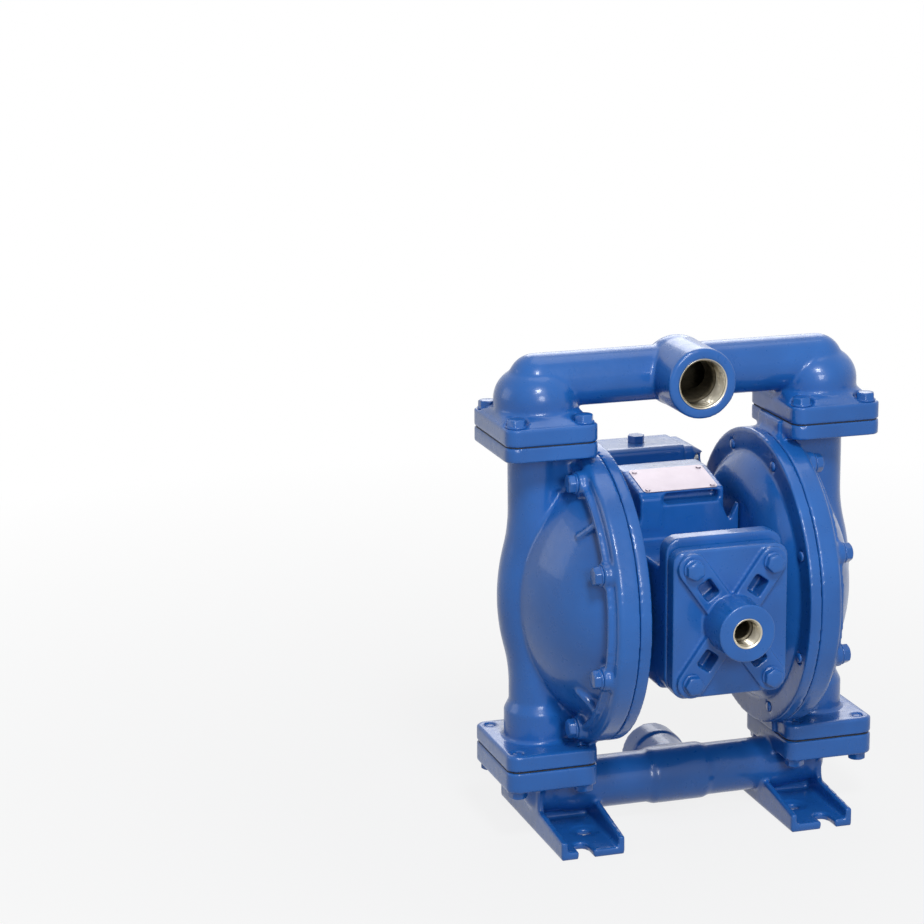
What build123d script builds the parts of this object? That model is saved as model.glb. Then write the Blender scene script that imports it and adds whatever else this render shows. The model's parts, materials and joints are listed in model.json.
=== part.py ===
"""Air-operated double-diaphragm pump with ball check valves and 1 1/2 inch ports.

X runs across the pump along the diaphragm rod, -Y is the front with the discharge
port and the air inlet, and Z is up from the floor. The origin is on the floor,
midway between the four foot holes. All lengths are in millimetres.
"""

from build123d import *
from math import asin, cos, hypot, radians, sin, sqrt
import os

# Whole pump
ring_r = 153.0
housing_half_w = 61.0
lower_seam_z = 82.2
ring_above_seam = 13.2
seam_above_ring = 15.2
seam_gasket_t = 1.2
fit_gap = 0.1
run_gap = 0.05
body_gap = 0.3
cut_over = 1.0

# Bolted flanges of the manifolds and the chambers
flange_w = 96.0
flange_d = 120.0
flange_corner_r = 12.0
flange_bolt_in_x = 13.0
flange_bolt_in_y = 14.0
discharge_flange_t = 17.4
chamber_top_flange_t = 15.0
chamber_foot_flange_t = 17.0
suction_flange_t = 20.7
plinth_h = 9.0
plinth_inset = 2.5
gasket_inset = 1.5

# Screw sizes: shank radius, width across flats, head height, washer radius and thickness
bolt_r = 5.0
bolt_af = 17.0
bolt_head_h = 6.6
washer_r = 10.5
washer_t = 2.0
bolt_chamfer = 0.9
spanner_room = 2.0
small_bolt_r = 3.0
small_head_r = 5.0
small_head_h = 5.0

# Discharge manifold
pipe_above_seam = 53.0
discharge_pipe_r = 27.6
discharge_bore_r = 20.5
discharge_port_y = 70.1
port_boss_r = 35.5
port_r = 24.15
port_depth = 26.0
port_chamfer = 1.2
port_tee_r = 36.3
elbow_base_r = 42.0
elbow_wall = 7.0
elbow_upright_h = 17.4
elbow_bulge_r = 31.4

# Suction manifold and feet
suction_z = 41.9
suction_pipe_r = 27.0
suction_bore_r = 19.0
suction_bend_room = 1.5
suction_port_y = 72.0
suction_neck_r = 28.5
suction_collar_r = 31.0
suction_collar_l = 28.0
suction_elbow_r = 25.0
suction_elbow_in = 9.0
suction_taper_l = 20.0
suction_tee_r = 29.5
suction_tee_half_l = 34.0
tee_slope_l = 7.0
passage_step_z = 66.0
passage_overlap = 4.0
foot_in = 27.0
foot_w = 67.0
foot_half_l = 100.0
foot_pad_t = 8.0
foot_rib_t = 6.5
foot_wall_t = 6.5
foot_rib_front_h = 18.5
inner_rib_slope = [(42.0, 28.0), (26.0, 30.5), (20.0, 40.0)]
outer_rib_slope = [(26.0, 25.0), (24.0, 36.0), (25.0, 46.0), (42.0, 60.5)]
foot_hole_in = 36.0
foot_hole_y = 45.0
foot_hole_r = 7.0
foot_spot_r = 15.0
foot_spot_depth = 1.5
foot_notch_in = 19.5
foot_notch_w = 15.0
foot_notch_l = 18.0

# Check valves
ball_r = 22.0
ball_lift = 11.0
ball_side_gap = 1.2
seat_bore_r = 17.0
seat_chamfer = 2.0
seat_r = 28.0
seat_t = 7.0
cage_rib_t = 6.0
cage_count = 4
cage_r = 27.0
cage_rib_up = 4.0
stop_bar_t = 6.0
stop_bar_h = 7.0

# Chamber rings around the diaphragms, radii measured in from the ring's edge
ring_bolt_in = 15.8
ring_bolt_count = 8
ring_bolt_start = 22.5
ring_land = 29.0
dish_depth = 21.0
inner_ring_t = 12.0
diaphragm_t = 3.5
diaphragm_in = 6.0
skirt_t = 5.5
skirt_seam = 0.5
outer_ring_t = 19.0
ring_lip_in = 11.0
ring_lip_t = 6.5
ring_lip_h = 6.5
ring_boss_r = 12.0
ring_boss_h = 9.5
ring_round = 3.0
bolt_end_l = 1.5

# Outer chamber dome and its upright duct
dome_over_ring = 9.0
dome_past_duct = 27.0
dome_wall = 8.0
duct_past_ring = 52.5
duct_r = 28.0
duct_bore_r = 19.5
duct_bow = 12.0
duct_bow_in = 62.0
web_inset = 1.5
web_clear = 6.0
bulb_r = 33.0
bulb_h = 55.0
bulb_slope = 4.0
dome_rib_t = 7.0
dome_rib_l = 30.0
dome_rib_foot = 12.0
dome_rib_h = 20.0
dome_rib_toe_h = 6.0
dome_rib_gap = 4.0
dome_rib_angles = [0, 45, -45, 135, 180, -135]

# Inner chamber bell
hub_r = 88.0
bell_edge_in = 25.0
bell_bulge = 5.0
dish_floor_t = 8.0
dish_wall = 6.0
hub_gasket_t = 1.0
hub_screw_circle_r = 42.0
hub_screw_count = 4
hub_screw_r = 4.0
hub_screw_head_r = 7.0
hub_screw_head_h = 4.5
hub_screw_l = 18.0

# Centre housing, heights measured from the rod axis
housing_drop = 74.4
housing_rise = 87.6
front_rise = 51.6
shoulder_in = 26.0
shoulder_drop = 37.0
housing_back_y = 105.0
pad_y = 130.0
pad_under_top = 4.0
pad_t = 20.0
pad_corner_r = 16.0
housing_round = 6.0
platform_in = 15.0
platform_front_y = 16.0
platform_back_y = 62.0
platform_front_rise = 12.6
platform_back_rise = 24.4
platform_slope_y = 34.0
platform_root = 20.0
recess_x0 = -19.0
recess_x1 = 40.0
recess_depth = 14.0
recess_under = 2.5
wall_y = 20.0
wall_t = 9.0
notch_part = 0.4
notch_over = 5.0
wall_under_top = 1.0
lug_ahead = 1.0
lug_drop = 24.0
lug_under = 4.0

# Air inlet cap on the front pad
cap_in = 1.0
cap_half_h = 75.0
cap_corner_r = 14.0
cap_gasket_t = 1.2
cap_t = 16.8
cap_edge = 1.5
cap_bolt_in = 18.3
cap_bolt_z = 58.2
cap_arm_rise = 6.5
cap_arm_w = 30.0
cap_boss_r = 15.0
cap_pocket_l = 19.0
cap_pocket_w = 16.0
cap_pocket_at = 44.0
cap_pocket_r = 2.5
cap_pocket_floor = 5.0
inlet_boss_r = 28.8
inlet_boss_h = 36.8
inlet_r = 13.35
inlet_depth = 20.0
inlet_mouth_r = 15.2
inlet_passage_r = 10.0
cap_bolt_l = 34.0

# Air chest behind the cap, and the pilot valve in it
chest_wall = 15.0
chest_half_h = 36.0
chest_floor_y = 29.0
pilot_y = 54.0
pilot_in = 6.0
pilot_half_h = 27.0
pilot_t = 50.0
pilot_edge = 3.0
pilot_gasket_t = 1.0
pilot_spool_r = 8.0
pilot_spool_in = 2.0
pilot_groove_r = 6.0
pilot_groove_w = 9.0
pilot_port_r = 3.0
pilot_port_pitch = 18.0
pilot_screw_in = 8.0
pilot_screw_z = 19.0
pilot_screw_depth = 8.0
plunger_r = 5.0
bushing_r = 9.0
pilot_ratio = 0.4

# Diaphragm rod and its plates
rod_r = 12.7
rod_stud_r = 8.0
rod_travel = 13.0
bush_wall = 4.3
bush_l = 20.0
rod_seal_l = 4.0
rod_relief = 1.5
plate_clear = 56.0
inner_plate_t = 6.0
outer_plate_t = 10.0
plate_edge_t = 3.5
inner_plate_flat = 0.8
outer_plate_flat = 0.6
rod_nut_af = 24.0
rod_nut_h = 10.0
stud_end = 3.0
bumper_wall = 9.0
bumper_t = 4.0
convolution_in = 27.0
convolution_rise = 9.0
convolution_half_w = 19.0

# Main air valve on the back of the housing
valve_in = 9.0
valve_drop = 8.4
valve_h = 124.0
valve_t = 60.0
valve_gasket_t = 1.0
valve_gasket_in = 2.0
valve_round = 7.0
spool_under_top = 39.0
spool_y = 32.0
spool_r = 11.0
spool_in = 12.0
spool_travel = 8.0
spool_groove_r = 7.5
spool_groove_w = 14.0
sleeve_r = 17.5
sleeve_in = 1.0
sleeve_slot_w = 5.0
sleeve_slot_h = 10.0
sleeve_slot_depth = 2.0
sleeve_slot_pitch = 14.0
end_cap_t = 24.0
end_cap_flat_t = 10.0
end_cap_taper = 30.0
end_cap_half_h = 36.0
end_cap_screw_d = 21.0
end_screw_in = 12.0
end_screw_seat = 12.0
valve_bolt_side = 10.0
valve_bolt_up = 12.0
valve_bolt_under = 29.0
valve_bolt_r = 4.0
valve_bolt_head_r = 7.0
valve_bolt_head_h = 8.0
valve_bolt_in = 16.0
plug_x = 8.0
plug_r = 8.0
plug_h = 7.5
plug_stem_r = 6.4
plug_stem_l = 8.0
exhaust_drop = 41.4
exhaust_boss_r = 25.0
exhaust_boss_h = 14.0
exhaust_r = 15.0
exhaust_depth = 30.0
air_way_r = 6.0
air_way_in = 4.0
air_way_y = 40.0
air_way_rise = 13.0

# Nameplate
plate_edge = 6.0
plate_corner_r = 4.0
plate_l = 50.0
plate_t = 0.8
pin_r = 1.5
pin_head_r = 2.6
pin_head_h = 1.0
pin_l = 5.0
pin_inset = 5.0

# Derived radii of the chamber ring
ring_bolt_circle_r = ring_r - ring_bolt_in
ring_clear_r = ring_r - ring_land
ring_lip_r = ring_r - ring_lip_in
bell_edge_r = ring_r - bell_edge_in
dome_r = ring_r + dome_over_ring
plate_r = ring_clear_r - plate_clear
convolution_r = ring_clear_r - convolution_in
flange_bolt_dx = flange_w / 2 - flange_bolt_in_x
flange_bolt_dy = flange_d / 2 - flange_bolt_in_y

# Derived places along X, from the centre outwards
hub_face_x = housing_half_w + hub_gasket_t
inner_ring_x = hub_face_x + dish_depth
dish_floor_x = hub_face_x + dish_floor_t
diaphragm_x = inner_ring_x + inner_ring_t
outer_face_x = diaphragm_x + diaphragm_t
outer_ring_x = outer_face_x + outer_ring_t
bolt_seat_x = outer_ring_x + ring_boss_h
inner_plate_x = diaphragm_x - inner_plate_t
outer_plate_x = outer_face_x + outer_plate_t
duct_x = outer_face_x + duct_past_ring
dome_centre_x = duct_x + dome_past_duct - dome_r
suction_elbow_x = duct_x - suction_elbow_in
foot_x = duct_x - foot_in
foot_hole_x = duct_x - foot_hole_in
foot_notch_x = duct_x - foot_notch_in
shoulder_x = housing_half_w - shoulder_in
platform_half_w = housing_half_w - platform_in
plate_w = 2 * (platform_half_w - plate_edge)
cap_half_w = housing_half_w - cap_in
cap_bolt_x = cap_half_w - cap_bolt_in
chest_half_w = housing_half_w - chest_wall
pilot_half_w = chest_half_w - pilot_in
pilot_spool_half_l = pilot_half_w - pilot_spool_in
pilot_screw_x = pilot_half_w - pilot_screw_in
valve_half_w = housing_half_w - valve_in
valve_bolt_x = valve_half_w - valve_bolt_side
air_way_x = valve_half_w - air_way_in
sleeve_half_l = valve_half_w - sleeve_in
spool_half_l = valve_half_w - spool_in

# Derived places along Z
rod_z = lower_seam_z + ring_above_seam + ring_r
upper_seam_z = rod_z + ring_r + seam_above_ring
discharge_z = upper_seam_z + pipe_above_seam
housing_bottom_z = rod_z - housing_drop
housing_top_z = rod_z + housing_rise
front_top_z = rod_z + front_rise
shoulder_z = housing_top_z - shoulder_drop
pad_top_z = housing_top_z - pad_under_top
platform_front_z = housing_top_z + platform_front_rise
platform_back_z = housing_top_z + platform_back_rise
air_way_z = rod_z + air_way_rise
exhaust_z = rod_z - exhaust_drop
valve_bottom_z = rod_z - valve_drop
valve_top_z = valve_bottom_z + valve_h
spool_z = valve_top_z - spool_under_top
valve_bolt_low_z = valve_bottom_z + valve_bolt_up
valve_bolt_high_z = spool_z - valve_bolt_under
duct_bow_half_h = ring_r - duct_bow_in
chamber_bottom_z = lower_seam_z + seam_gasket_t / 2
chamber_top_z = upper_seam_z - seam_gasket_t / 2
suction_top_z = lower_seam_z - seam_gasket_t / 2
discharge_bottom_z = upper_seam_z + seam_gasket_t / 2
discharge_flange_top = discharge_bottom_z + discharge_flange_t
elbow_shoulder_z = discharge_flange_top + elbow_upright_h
suction_flange_z = suction_top_z - suction_flange_t
seat_contact_h = sqrt((ball_r + body_gap) ** 2 - seat_bore_r ** 2)
ball_above_seat = seat_contact_h - seat_chamfer

# Derived places along Y, measured forwards
cap_back_y = pad_y + cap_gasket_t
cap_face_y = cap_back_y + cap_t
cap_seat_y = cap_face_y + cap_arm_rise
inlet_face_y = cap_seat_y + inlet_boss_h
plunger_end_x = inner_plate_x - rod_travel - body_gap + pilot_ratio * rod_travel
discharge_seat_z = chamber_top_z
suction_seat_z = suction_top_z

ring_angles = [ring_bolt_start + 360 / ring_bolt_count * k for k in range(ring_bolt_count)]


def block(x0, x1, y0, y1, z0, z1):
    """Box between two corners."""
    centre = Pos((x0 + x1) / 2, (y0 + y1) / 2, (z0 + z1) / 2)
    return centre * Box(abs(x1 - x0), abs(y1 - y0), abs(z1 - z0))


def round_z(r, z0, z1, x=0, y=0):
    """Cylinder along Z."""
    return Pos(x, y, (z0 + z1) / 2) * Cylinder(r, abs(z1 - z0))


def round_y(r, y0, y1, x=0, z=0):
    """Cylinder along Y."""
    return Pos(x, (y0 + y1) / 2, z) * Rot(90, 0, 0) * Cylinder(r, abs(y1 - y0))


def round_x(r, x0, x1, y=0, z=0):
    """Cylinder along X."""
    return Pos((x0 + x1) / 2, y, z) * Rot(0, 90, 0) * Cylinder(r, abs(x1 - x0))


def hexagon(across_flats, height):
    """Hexagonal prism standing on the XY plane."""
    return extrude(RegularPolygon(across_flats / 2, 6, major_radius=False), height)


def turned_x(points):
    """Solid turned about the rod axis, from (distance along X, radius) points."""
    return Pos(0, 0, rod_z) * revolve(make_face(Polyline(*points, close=True)), axis=Axis.X)


def turned_z(points, x=0, y=0):
    """Solid turned about an upright axis, from (radius, height) points."""
    face = Plane.XZ * make_face(Polyline(*points, close=True))
    return Pos(x, y, 0) * revolve(face, axis=Axis.Z)


def ring_point(angle, r):
    """Y and Z of a point on a circle about the rod axis, angle 0 at the front."""
    return -r * cos(radians(angle)), rod_z + r * sin(radians(angle))


def mirrored(shape):
    """The left-hand twin of a right-hand piece."""
    return mirror(shape, about=Plane.YZ)


def bolt(length):
    """Hexagon bolt with its washer: the seat is at the origin, the shank points down."""
    head = Pos(0, 0, washer_t) * hexagon(bolt_af, bolt_head_h)
    head = chamfer(head.edges().group_by(Axis.Z)[-1], bolt_chamfer)
    shank = round_z(bolt_r, -length, 0)
    return shank + round_z(washer_r, 0, washer_t) + head


def flange_plate(z0, z1):
    """Manifold or chamber flange with rounded upright corners."""
    outline = RectangleRounded(flange_w, flange_d, flange_corner_r)
    return Pos(duct_x, 0, z0) * extrude(outline, z1 - z0)


def flange_holes(z0, z1, r):
    """The four bolt holes of a flange."""
    holes = []
    for sx in (-1, 1):
        for sy in (-1, 1):
            x = duct_x + sx * flange_bolt_dx
            holes.append(round_z(r, z0, z1, x, sy * flange_bolt_dy))
    return holes


def cage_ribs(outer_r, z0, z1):
    """Upright guide ribs that keep a ball over its seat."""
    inner_r = ball_r + ball_side_gap
    ribs = []
    for k in range(cage_count):
        rib = block(inner_r, outer_r, -cage_rib_t / 2, cage_rib_t / 2, z0, z1)
        ribs.append(Pos(duct_x, 0, 0) * Rot(0, 0, 45 + 360 / cage_count * k) * rib)
    return ribs


def round_ended(r, x, centre_z, end_z):
    """Upright bar with a round lower end."""
    low = (0, centre_z - r)
    side = (r, centre_z)
    half = ThreePointArc(low, (r * sin(radians(45)), centre_z - r * cos(radians(45))), side)
    wall = Polyline(side, (r, end_z), (0, end_z), low)
    return Pos(x, 0, 0) * revolve(make_face(Plane.XZ * (half + wall)), axis=Axis.Z)


def elbow(base_r, bulge_r, crown_r, z0):
    """Right discharge elbow: upright wall, round shoulder and the crown of the pipe."""
    z1 = elbow_shoulder_z
    top_z = z1 + bulge_r
    x1 = base_r - bulge_r
    reach = bulge_r * sin(radians(45))
    wall = Polyline((x1, top_z), (0, top_z), (0, z0), (base_r, z0), (base_r, z1))
    shoulder = ThreePointArc((base_r, z1), (x1 + reach, z1 + reach), (x1, top_z))
    low = (0, discharge_z - crown_r)
    high = (0, discharge_z + crown_r)
    crown = Line(low, high) + ThreePointArc(high, (crown_r, discharge_z), low)
    profile = make_face(wall + shoulder) + make_face(crown)
    return Pos(duct_x, 0, 0) * revolve(Plane.XZ * profile, axis=Axis.Z)


def make_discharge_manifold():
    """Cast pipe with two ball-cage elbows, two flanges and the threaded front port."""
    top = discharge_flange_top
    low_w = flange_w - 2 * plinth_inset
    low_d = flange_d - 2 * plinth_inset
    high_side = 2 * (elbow_base_r - cut_over)
    low = Pos(duct_x, 0, top) * RectangleRounded(low_w, low_d, flange_corner_r)
    high_r = elbow_base_r - 2 * cut_over
    high = Pos(duct_x, 0, top + plinth_h) * RectangleRounded(high_side, high_side, high_r)
    end = flange_plate(discharge_bottom_z, top) + loft([low, high])
    end += elbow(elbow_base_r, elbow_bulge_r, discharge_pipe_r, top)
    for hole in flange_holes(top, top + 2 * plinth_h, washer_r + spanner_room):
        end -= hole
    pipe = round_x(discharge_pipe_r, -duct_x, duct_x, z=discharge_z)
    tee = Pos(0, 0, discharge_z) * Sphere(port_tee_r)
    neck = round_y(port_boss_r, -discharge_port_y, 0, z=discharge_z)
    body = pipe + tee + neck + end + mirrored(end)
    cage_wall_r = elbow_base_r - elbow_wall
    cavity = elbow(cage_wall_r, elbow_bulge_r - elbow_wall, discharge_bore_r, discharge_bottom_z - cut_over)
    rib_base = discharge_bottom_z - 2 * cut_over
    for rib in cage_ribs(cage_wall_r + 2 * cut_over, rib_base, elbow_shoulder_z + plinth_h):
        cavity -= rib
    stop_z = discharge_seat_z + ball_above_seat + ball_r + ball_lift + body_gap
    stop_x = duct_x - ball_r / 2
    cavity -= block(stop_x, duct_x + ball_r, -stop_bar_t / 2, stop_bar_t / 2, stop_z, discharge_z + ball_r)
    body -= cavity + mirrored(cavity)
    body -= round_x(discharge_bore_r, -stop_x, stop_x, z=discharge_z)
    mouth_y = -discharge_port_y - cut_over
    body -= round_y(discharge_bore_r, mouth_y, 0, z=discharge_z)
    body -= round_y(port_r, mouth_y, -discharge_port_y + port_depth, z=discharge_z)
    mouth = Cone(port_r, port_r + 2 * port_chamfer, 2 * port_chamfer)
    body -= Pos(0, -discharge_port_y, discharge_z) * Rot(90, 0, 0) * mouth
    for hole in flange_holes(discharge_bottom_z - cut_over, top + cut_over, bolt_r + fit_gap):
        body -= hole
        body -= mirrored(hole)
    return body


def make_foot_rib(slope, top):
    """Side rib of a foot, the same to the front and to the rear."""
    half = [(foot_half_l, 0), (foot_half_l, foot_rib_front_h)] + slope + [(slope[-1][0], top)]
    outline = half + [(-y, z) for y, z in reversed(half)]
    return extrude(Plane.YZ * make_face(Polyline(*outline, close=True)), foot_rib_t)


def make_foot():
    """Right foot: floor pad, two side ribs, cross wall under the elbow, hole and open notch."""
    x0 = foot_x - foot_w / 2
    x1 = foot_x + foot_w / 2
    foot = block(x0, x1, -foot_half_l, foot_half_l, 0, foot_pad_t)
    foot += Pos(x0, 0, 0) * make_foot_rib(inner_rib_slope, suction_z)
    foot += Pos(x1 - foot_rib_t, 0, 0) * make_foot_rib(outer_rib_slope, suction_flange_z + cut_over)
    foot += block(x0, x1, -foot_wall_t / 2, foot_wall_t / 2, 0, suction_z)
    pad_top = foot_pad_t + cut_over
    for sy in (-1, 1):
        hole_y = sy * foot_hole_y
        foot -= round_z(foot_hole_r, -cut_over, pad_top, foot_hole_x, hole_y)
        foot -= round_z(foot_spot_r, foot_pad_t - foot_spot_depth, pad_top, foot_hole_x, hole_y)
        y_end = sy * (foot_half_l - foot_notch_l)
        y_out = sy * (foot_half_l + cut_over)
        notch_r = foot_notch_w / 2
        foot -= block(foot_notch_x - notch_r, foot_notch_x + notch_r, y_end, y_out, -cut_over, pad_top)
        foot -= round_z(notch_r, -cut_over, pad_top, foot_notch_x, y_end)
    return foot


def make_suction_pipe():
    """Lower pipe turned in one piece: thicker at the tee, tapered to the elbows."""
    end_x = suction_elbow_x - 4 * cut_over
    end_r = suction_elbow_r - cut_over / 2
    half = [
        (end_x, 0),
        (end_x, end_r),
        (end_x - suction_taper_l, suction_pipe_r),
        (suction_tee_half_l, suction_pipe_r),
        (suction_tee_half_l - tee_slope_l, suction_tee_r),
    ]
    outline = half + [(-x, r) for x, r in reversed(half)]
    return Pos(0, 0, suction_z - rod_z) * turned_x(outline)


def make_suction_manifold():
    """Cast lower pipe with two elbows, flanges, feet and the threaded rear port."""
    end = flange_plate(suction_flange_z, suction_top_z) + make_foot()
    end += round_ended(suction_elbow_r, suction_elbow_x, suction_z, suction_flange_z + cut_over)
    neck = round_y(suction_neck_r, 0, suction_port_y, z=suction_z)
    collar = round_y(suction_collar_r, suction_port_y - suction_collar_l, suction_port_y, z=suction_z)
    body = make_suction_pipe() + neck + collar + end + mirrored(end)
    bend_r = suction_bore_r + suction_bend_room
    cut = round_z(suction_bore_r, suction_z, passage_step_z + passage_overlap, suction_elbow_x)
    cut += Pos(suction_elbow_x, 0, suction_z) * Sphere(bend_r)
    cut += round_z(suction_bore_r, passage_step_z, suction_top_z + cut_over, duct_x)
    cut += round_z(seat_r + fit_gap, suction_top_z - seat_t, suction_top_z + cut_over, duct_x)
    for hole in flange_holes(suction_flange_z - cut_over, suction_top_z + cut_over, bolt_r + fit_gap):
        cut += hole
    body -= cut + mirrored(cut)
    body -= round_x(suction_bore_r, -suction_elbow_x, suction_elbow_x, z=suction_z)
    mouth_y = suction_port_y + cut_over
    body -= round_y(bend_r, 0, mouth_y, z=suction_z)
    body -= round_y(port_r, suction_port_y - port_depth, mouth_y, z=suction_z)
    return body


def make_duct_line():
    """Middle line of the upright duct: straight, bowed out over the dome, straight."""
    quarter = duct_bow_half_h / 2
    bend_r = (quarter ** 2 + (duct_bow / 2) ** 2) / duct_bow
    sag = bend_r - sqrt(bend_r ** 2 - (quarter / 2) ** 2)
    low_z = rod_z - duct_bow_half_h
    high_z = rod_z + duct_bow_half_h
    mid_x = duct_x + duct_bow / 2
    low_mid = (mid_x, rod_z - quarter)
    high_mid = (mid_x, rod_z + quarter)
    lower = ThreePointArc((duct_x, low_z), (duct_x + sag, low_z + quarter / 2), low_mid)
    middle = ThreePointArc(low_mid, (duct_x + duct_bow, rod_z), high_mid)
    upper = ThreePointArc(high_mid, (duct_x + sag, high_z - quarter / 2), (duct_x, high_z))
    start = Line((duct_x, chamber_bottom_z - cut_over), (duct_x, low_z))
    end = Line((duct_x, high_z), (duct_x, chamber_top_z + cut_over))
    return Plane.XZ * (start + lower + middle + upper + end)


def duct_solid(r):
    """Round bar along the duct's middle line, a little longer than the chamber is high."""
    start = Pos(duct_x, 0, chamber_bottom_z - cut_over) * Circle(r)
    return sweep(start, path=make_duct_line())


def bowl(r, start_x, rim_r):
    """Solid cap of the dome's sphere, cut off at a plane and a rim radius."""
    rim_x = dome_centre_x + sqrt(r ** 2 - rim_r ** 2)
    side = Polyline((dome_centre_x + r, 0), (start_x, 0), (start_x, rim_r), (rim_x, rim_r))
    if rim_x <= start_x:
        rim_r = sqrt(r ** 2 - (start_x - dome_centre_x) ** 2)
        rim_x = start_x
        side = Polyline((dome_centre_x + r, 0), (start_x, 0), (start_x, rim_r))
    half = asin(rim_r / r) / 2
    middle = (dome_centre_x + r * cos(half), r * sin(half))
    crown = ThreePointArc((rim_x, rim_r), middle, (dome_centre_x + r, 0))
    return Pos(0, 0, rod_z) * revolve(make_face(side + crown), axis=Axis.X)


def ring_holes(r, x0, x1):
    """The bolt holes of a chamber ring."""
    holes = []
    for angle in ring_angles:
        y, z = ring_point(angle, ring_bolt_circle_r)
        holes.append(round_x(r, x0, x1, y, z))
    return holes


def make_outer_ring():
    """Ring flange of the right outer chamber: skirt over the diaphragm, lip, bosses, ribs."""
    ring = round_x(ring_r, outer_face_x, outer_ring_x, z=rod_z)
    ring = chamfer(ring.edges().group_by(Axis.X)[-1], ring_round)
    skirt = round_x(ring_r, diaphragm_x + skirt_seam, outer_face_x, z=rod_z)
    skirt -= round_x(ring_r - skirt_t, diaphragm_x, outer_face_x + cut_over, z=rod_z)
    lip_x = outer_ring_x + ring_lip_h
    lip = round_x(ring_lip_r, outer_ring_x, lip_x, z=rod_z)
    lip -= round_x(ring_lip_r - ring_lip_t, outer_ring_x - cut_over, lip_x + cut_over, z=rod_z)
    body = ring + skirt + lip
    for boss in ring_holes(ring_boss_r, outer_ring_x - cut_over, bolt_seat_x):
        body += boss
    rib = Polyline(
        (ring_lip_r - dome_rib_l - dome_rib_foot, 0),
        (ring_lip_r - dome_rib_gap, 0),
        (ring_lip_r - dome_rib_gap, dome_rib_toe_h),
        (ring_lip_r - dome_rib_l, dome_rib_h),
        close=True,
    )
    blade = Rot(0, 90, 0) * Rot(90, 0, 0) * extrude(make_face(rib), dome_rib_t / 2, both=True)
    for angle in dome_rib_angles:
        body += Pos(outer_ring_x - cut_over, 0, rod_z) * Rot(angle, 0, 0) * blade
    return body


def make_outer_chamber():
    """Right outer chamber: ring flange, dome, bowed duct, ball cage and end flanges."""
    body = make_outer_ring() + bowl(dome_r, outer_face_x, ring_r - 2 * ring_round)
    web_half_d = duct_r - web_inset
    web_z0 = chamber_bottom_z + cut_over
    web = block(outer_face_x + cut_over, duct_x, -web_half_d, web_half_d, web_z0, chamber_top_z - cut_over)
    web -= round_x(ring_clear_r - web_clear, 0, duct_x + cut_over, z=rod_z)
    bulb_z = chamber_bottom_z + bulb_h
    bulb = turned_z(
        [
            (0, chamber_bottom_z),
            (bulb_r, chamber_bottom_z),
            (bulb_r, bulb_z - 2 * bulb_slope),
            (bulb_r - bulb_slope / 2, bulb_z - bulb_slope),
            (duct_r - cut_over, bulb_z + bulb_slope),
            (0, bulb_z + bulb_slope),
        ],
        duct_x,
    )
    body += duct_solid(duct_r) + web + bulb
    body -= block(0, 2 * duct_x, -duct_x, duct_x, 0, chamber_bottom_z)
    body -= block(0, 2 * duct_x, -duct_x, duct_x, chamber_top_z, discharge_z)
    top_flange_z = chamber_top_z - chamber_top_flange_t
    foot_flange_z = chamber_bottom_z + chamber_foot_flange_t
    body += flange_plate(top_flange_z, chamber_top_z)
    body += flange_plate(chamber_bottom_z, foot_flange_z)
    body -= bowl(dome_r - dome_wall, outer_face_x - cut_over, ring_clear_r)
    body -= duct_solid(duct_bore_r)
    cage_top = suction_seat_z + ball_above_seat + ball_r + ball_lift
    dome_top = cage_top + stop_bar_h + 2 * cut_over
    cage = turned_z(
        [
            (0, chamber_bottom_z - cut_over),
            (cage_r, chamber_bottom_z - cut_over),
            (cage_r, cage_top),
            (duct_bore_r - cut_over, dome_top),
            (0, dome_top),
        ],
        duct_x,
    )
    for rib in cage_ribs(cage_r + 2 * cut_over, chamber_bottom_z + cage_rib_up, dome_top + cut_over):
        cage -= rib
    body -= cage
    stop_z = cage_top + body_gap
    half_t = stop_bar_t / 2
    body += block(duct_x - cage_r, duct_x + cage_r, -half_t, half_t, stop_z, stop_z + stop_bar_h)
    body -= round_z(seat_r + fit_gap, chamber_top_z - seat_t, chamber_top_z + cut_over, duct_x)
    for hole in flange_holes(top_flange_z - cut_over, chamber_top_z + cut_over, bolt_r + fit_gap):
        body -= hole
    for hole in flange_holes(chamber_bottom_z - cut_over, foot_flange_z + cut_over, bolt_r + fit_gap):
        body -= hole
    for hole in ring_holes(bolt_r + fit_gap, outer_face_x - cut_over, bolt_seat_x + cut_over):
        body -= hole
    return body


def bulged(start, end, bulge):
    """Arc between two (distance along X, radius) points, bulging outwards and to the centre."""
    dx = end[0] - start[0]
    dr = end[1] - start[1]
    length = hypot(dx, dr)
    mid_x = (start[0] + end[0]) / 2 - bulge * dr / length
    mid_r = (start[1] + end[1]) / 2 + bulge * dx / length
    return ThreePointArc(start, (mid_x, mid_r), end)


def make_inner_chamber():
    """Right inner chamber: a bell whose hub bolts to the centre housing."""
    bore_r = rod_r + rod_relief
    outer = bulged((hub_face_x, hub_r), (inner_ring_x, bell_edge_r), bell_bulge)
    floor_r = hub_r - dish_wall
    inner = bulged((dish_floor_x, floor_r), (inner_ring_x + dish_wall, ring_clear_r - cut_over), bell_bulge)
    hub = [(dish_floor_x, floor_r), (dish_floor_x, bore_r), (hub_face_x, bore_r), (hub_face_x, hub_r)]
    ring = Polyline(
        (inner_ring_x, bell_edge_r),
        (inner_ring_x, ring_r),
        (diaphragm_x, ring_r),
        (diaphragm_x, ring_clear_r),
        (inner_ring_x + dish_wall, ring_clear_r - cut_over),
    )
    bell = Pos(0, 0, rod_z) * revolve(make_face(Polyline(*hub) + outer + ring + inner), axis=Axis.X)
    for hole in ring_holes(bolt_r + fit_gap, inner_ring_x - cut_over, diaphragm_x + cut_over):
        bell -= hole
    x0 = hub_face_x - cut_over
    x1 = dish_floor_x + cut_over
    for y, z in hub_screw_places():
        bell -= round_x(hub_screw_r + fit_gap, x0, x1, y, z)
    bell -= round_x(bushing_r + fit_gap, x0, x1, -pilot_y, rod_z)
    bell -= round_x(air_way_r, x0, x1, air_way_y, air_way_z)
    return bell


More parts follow.
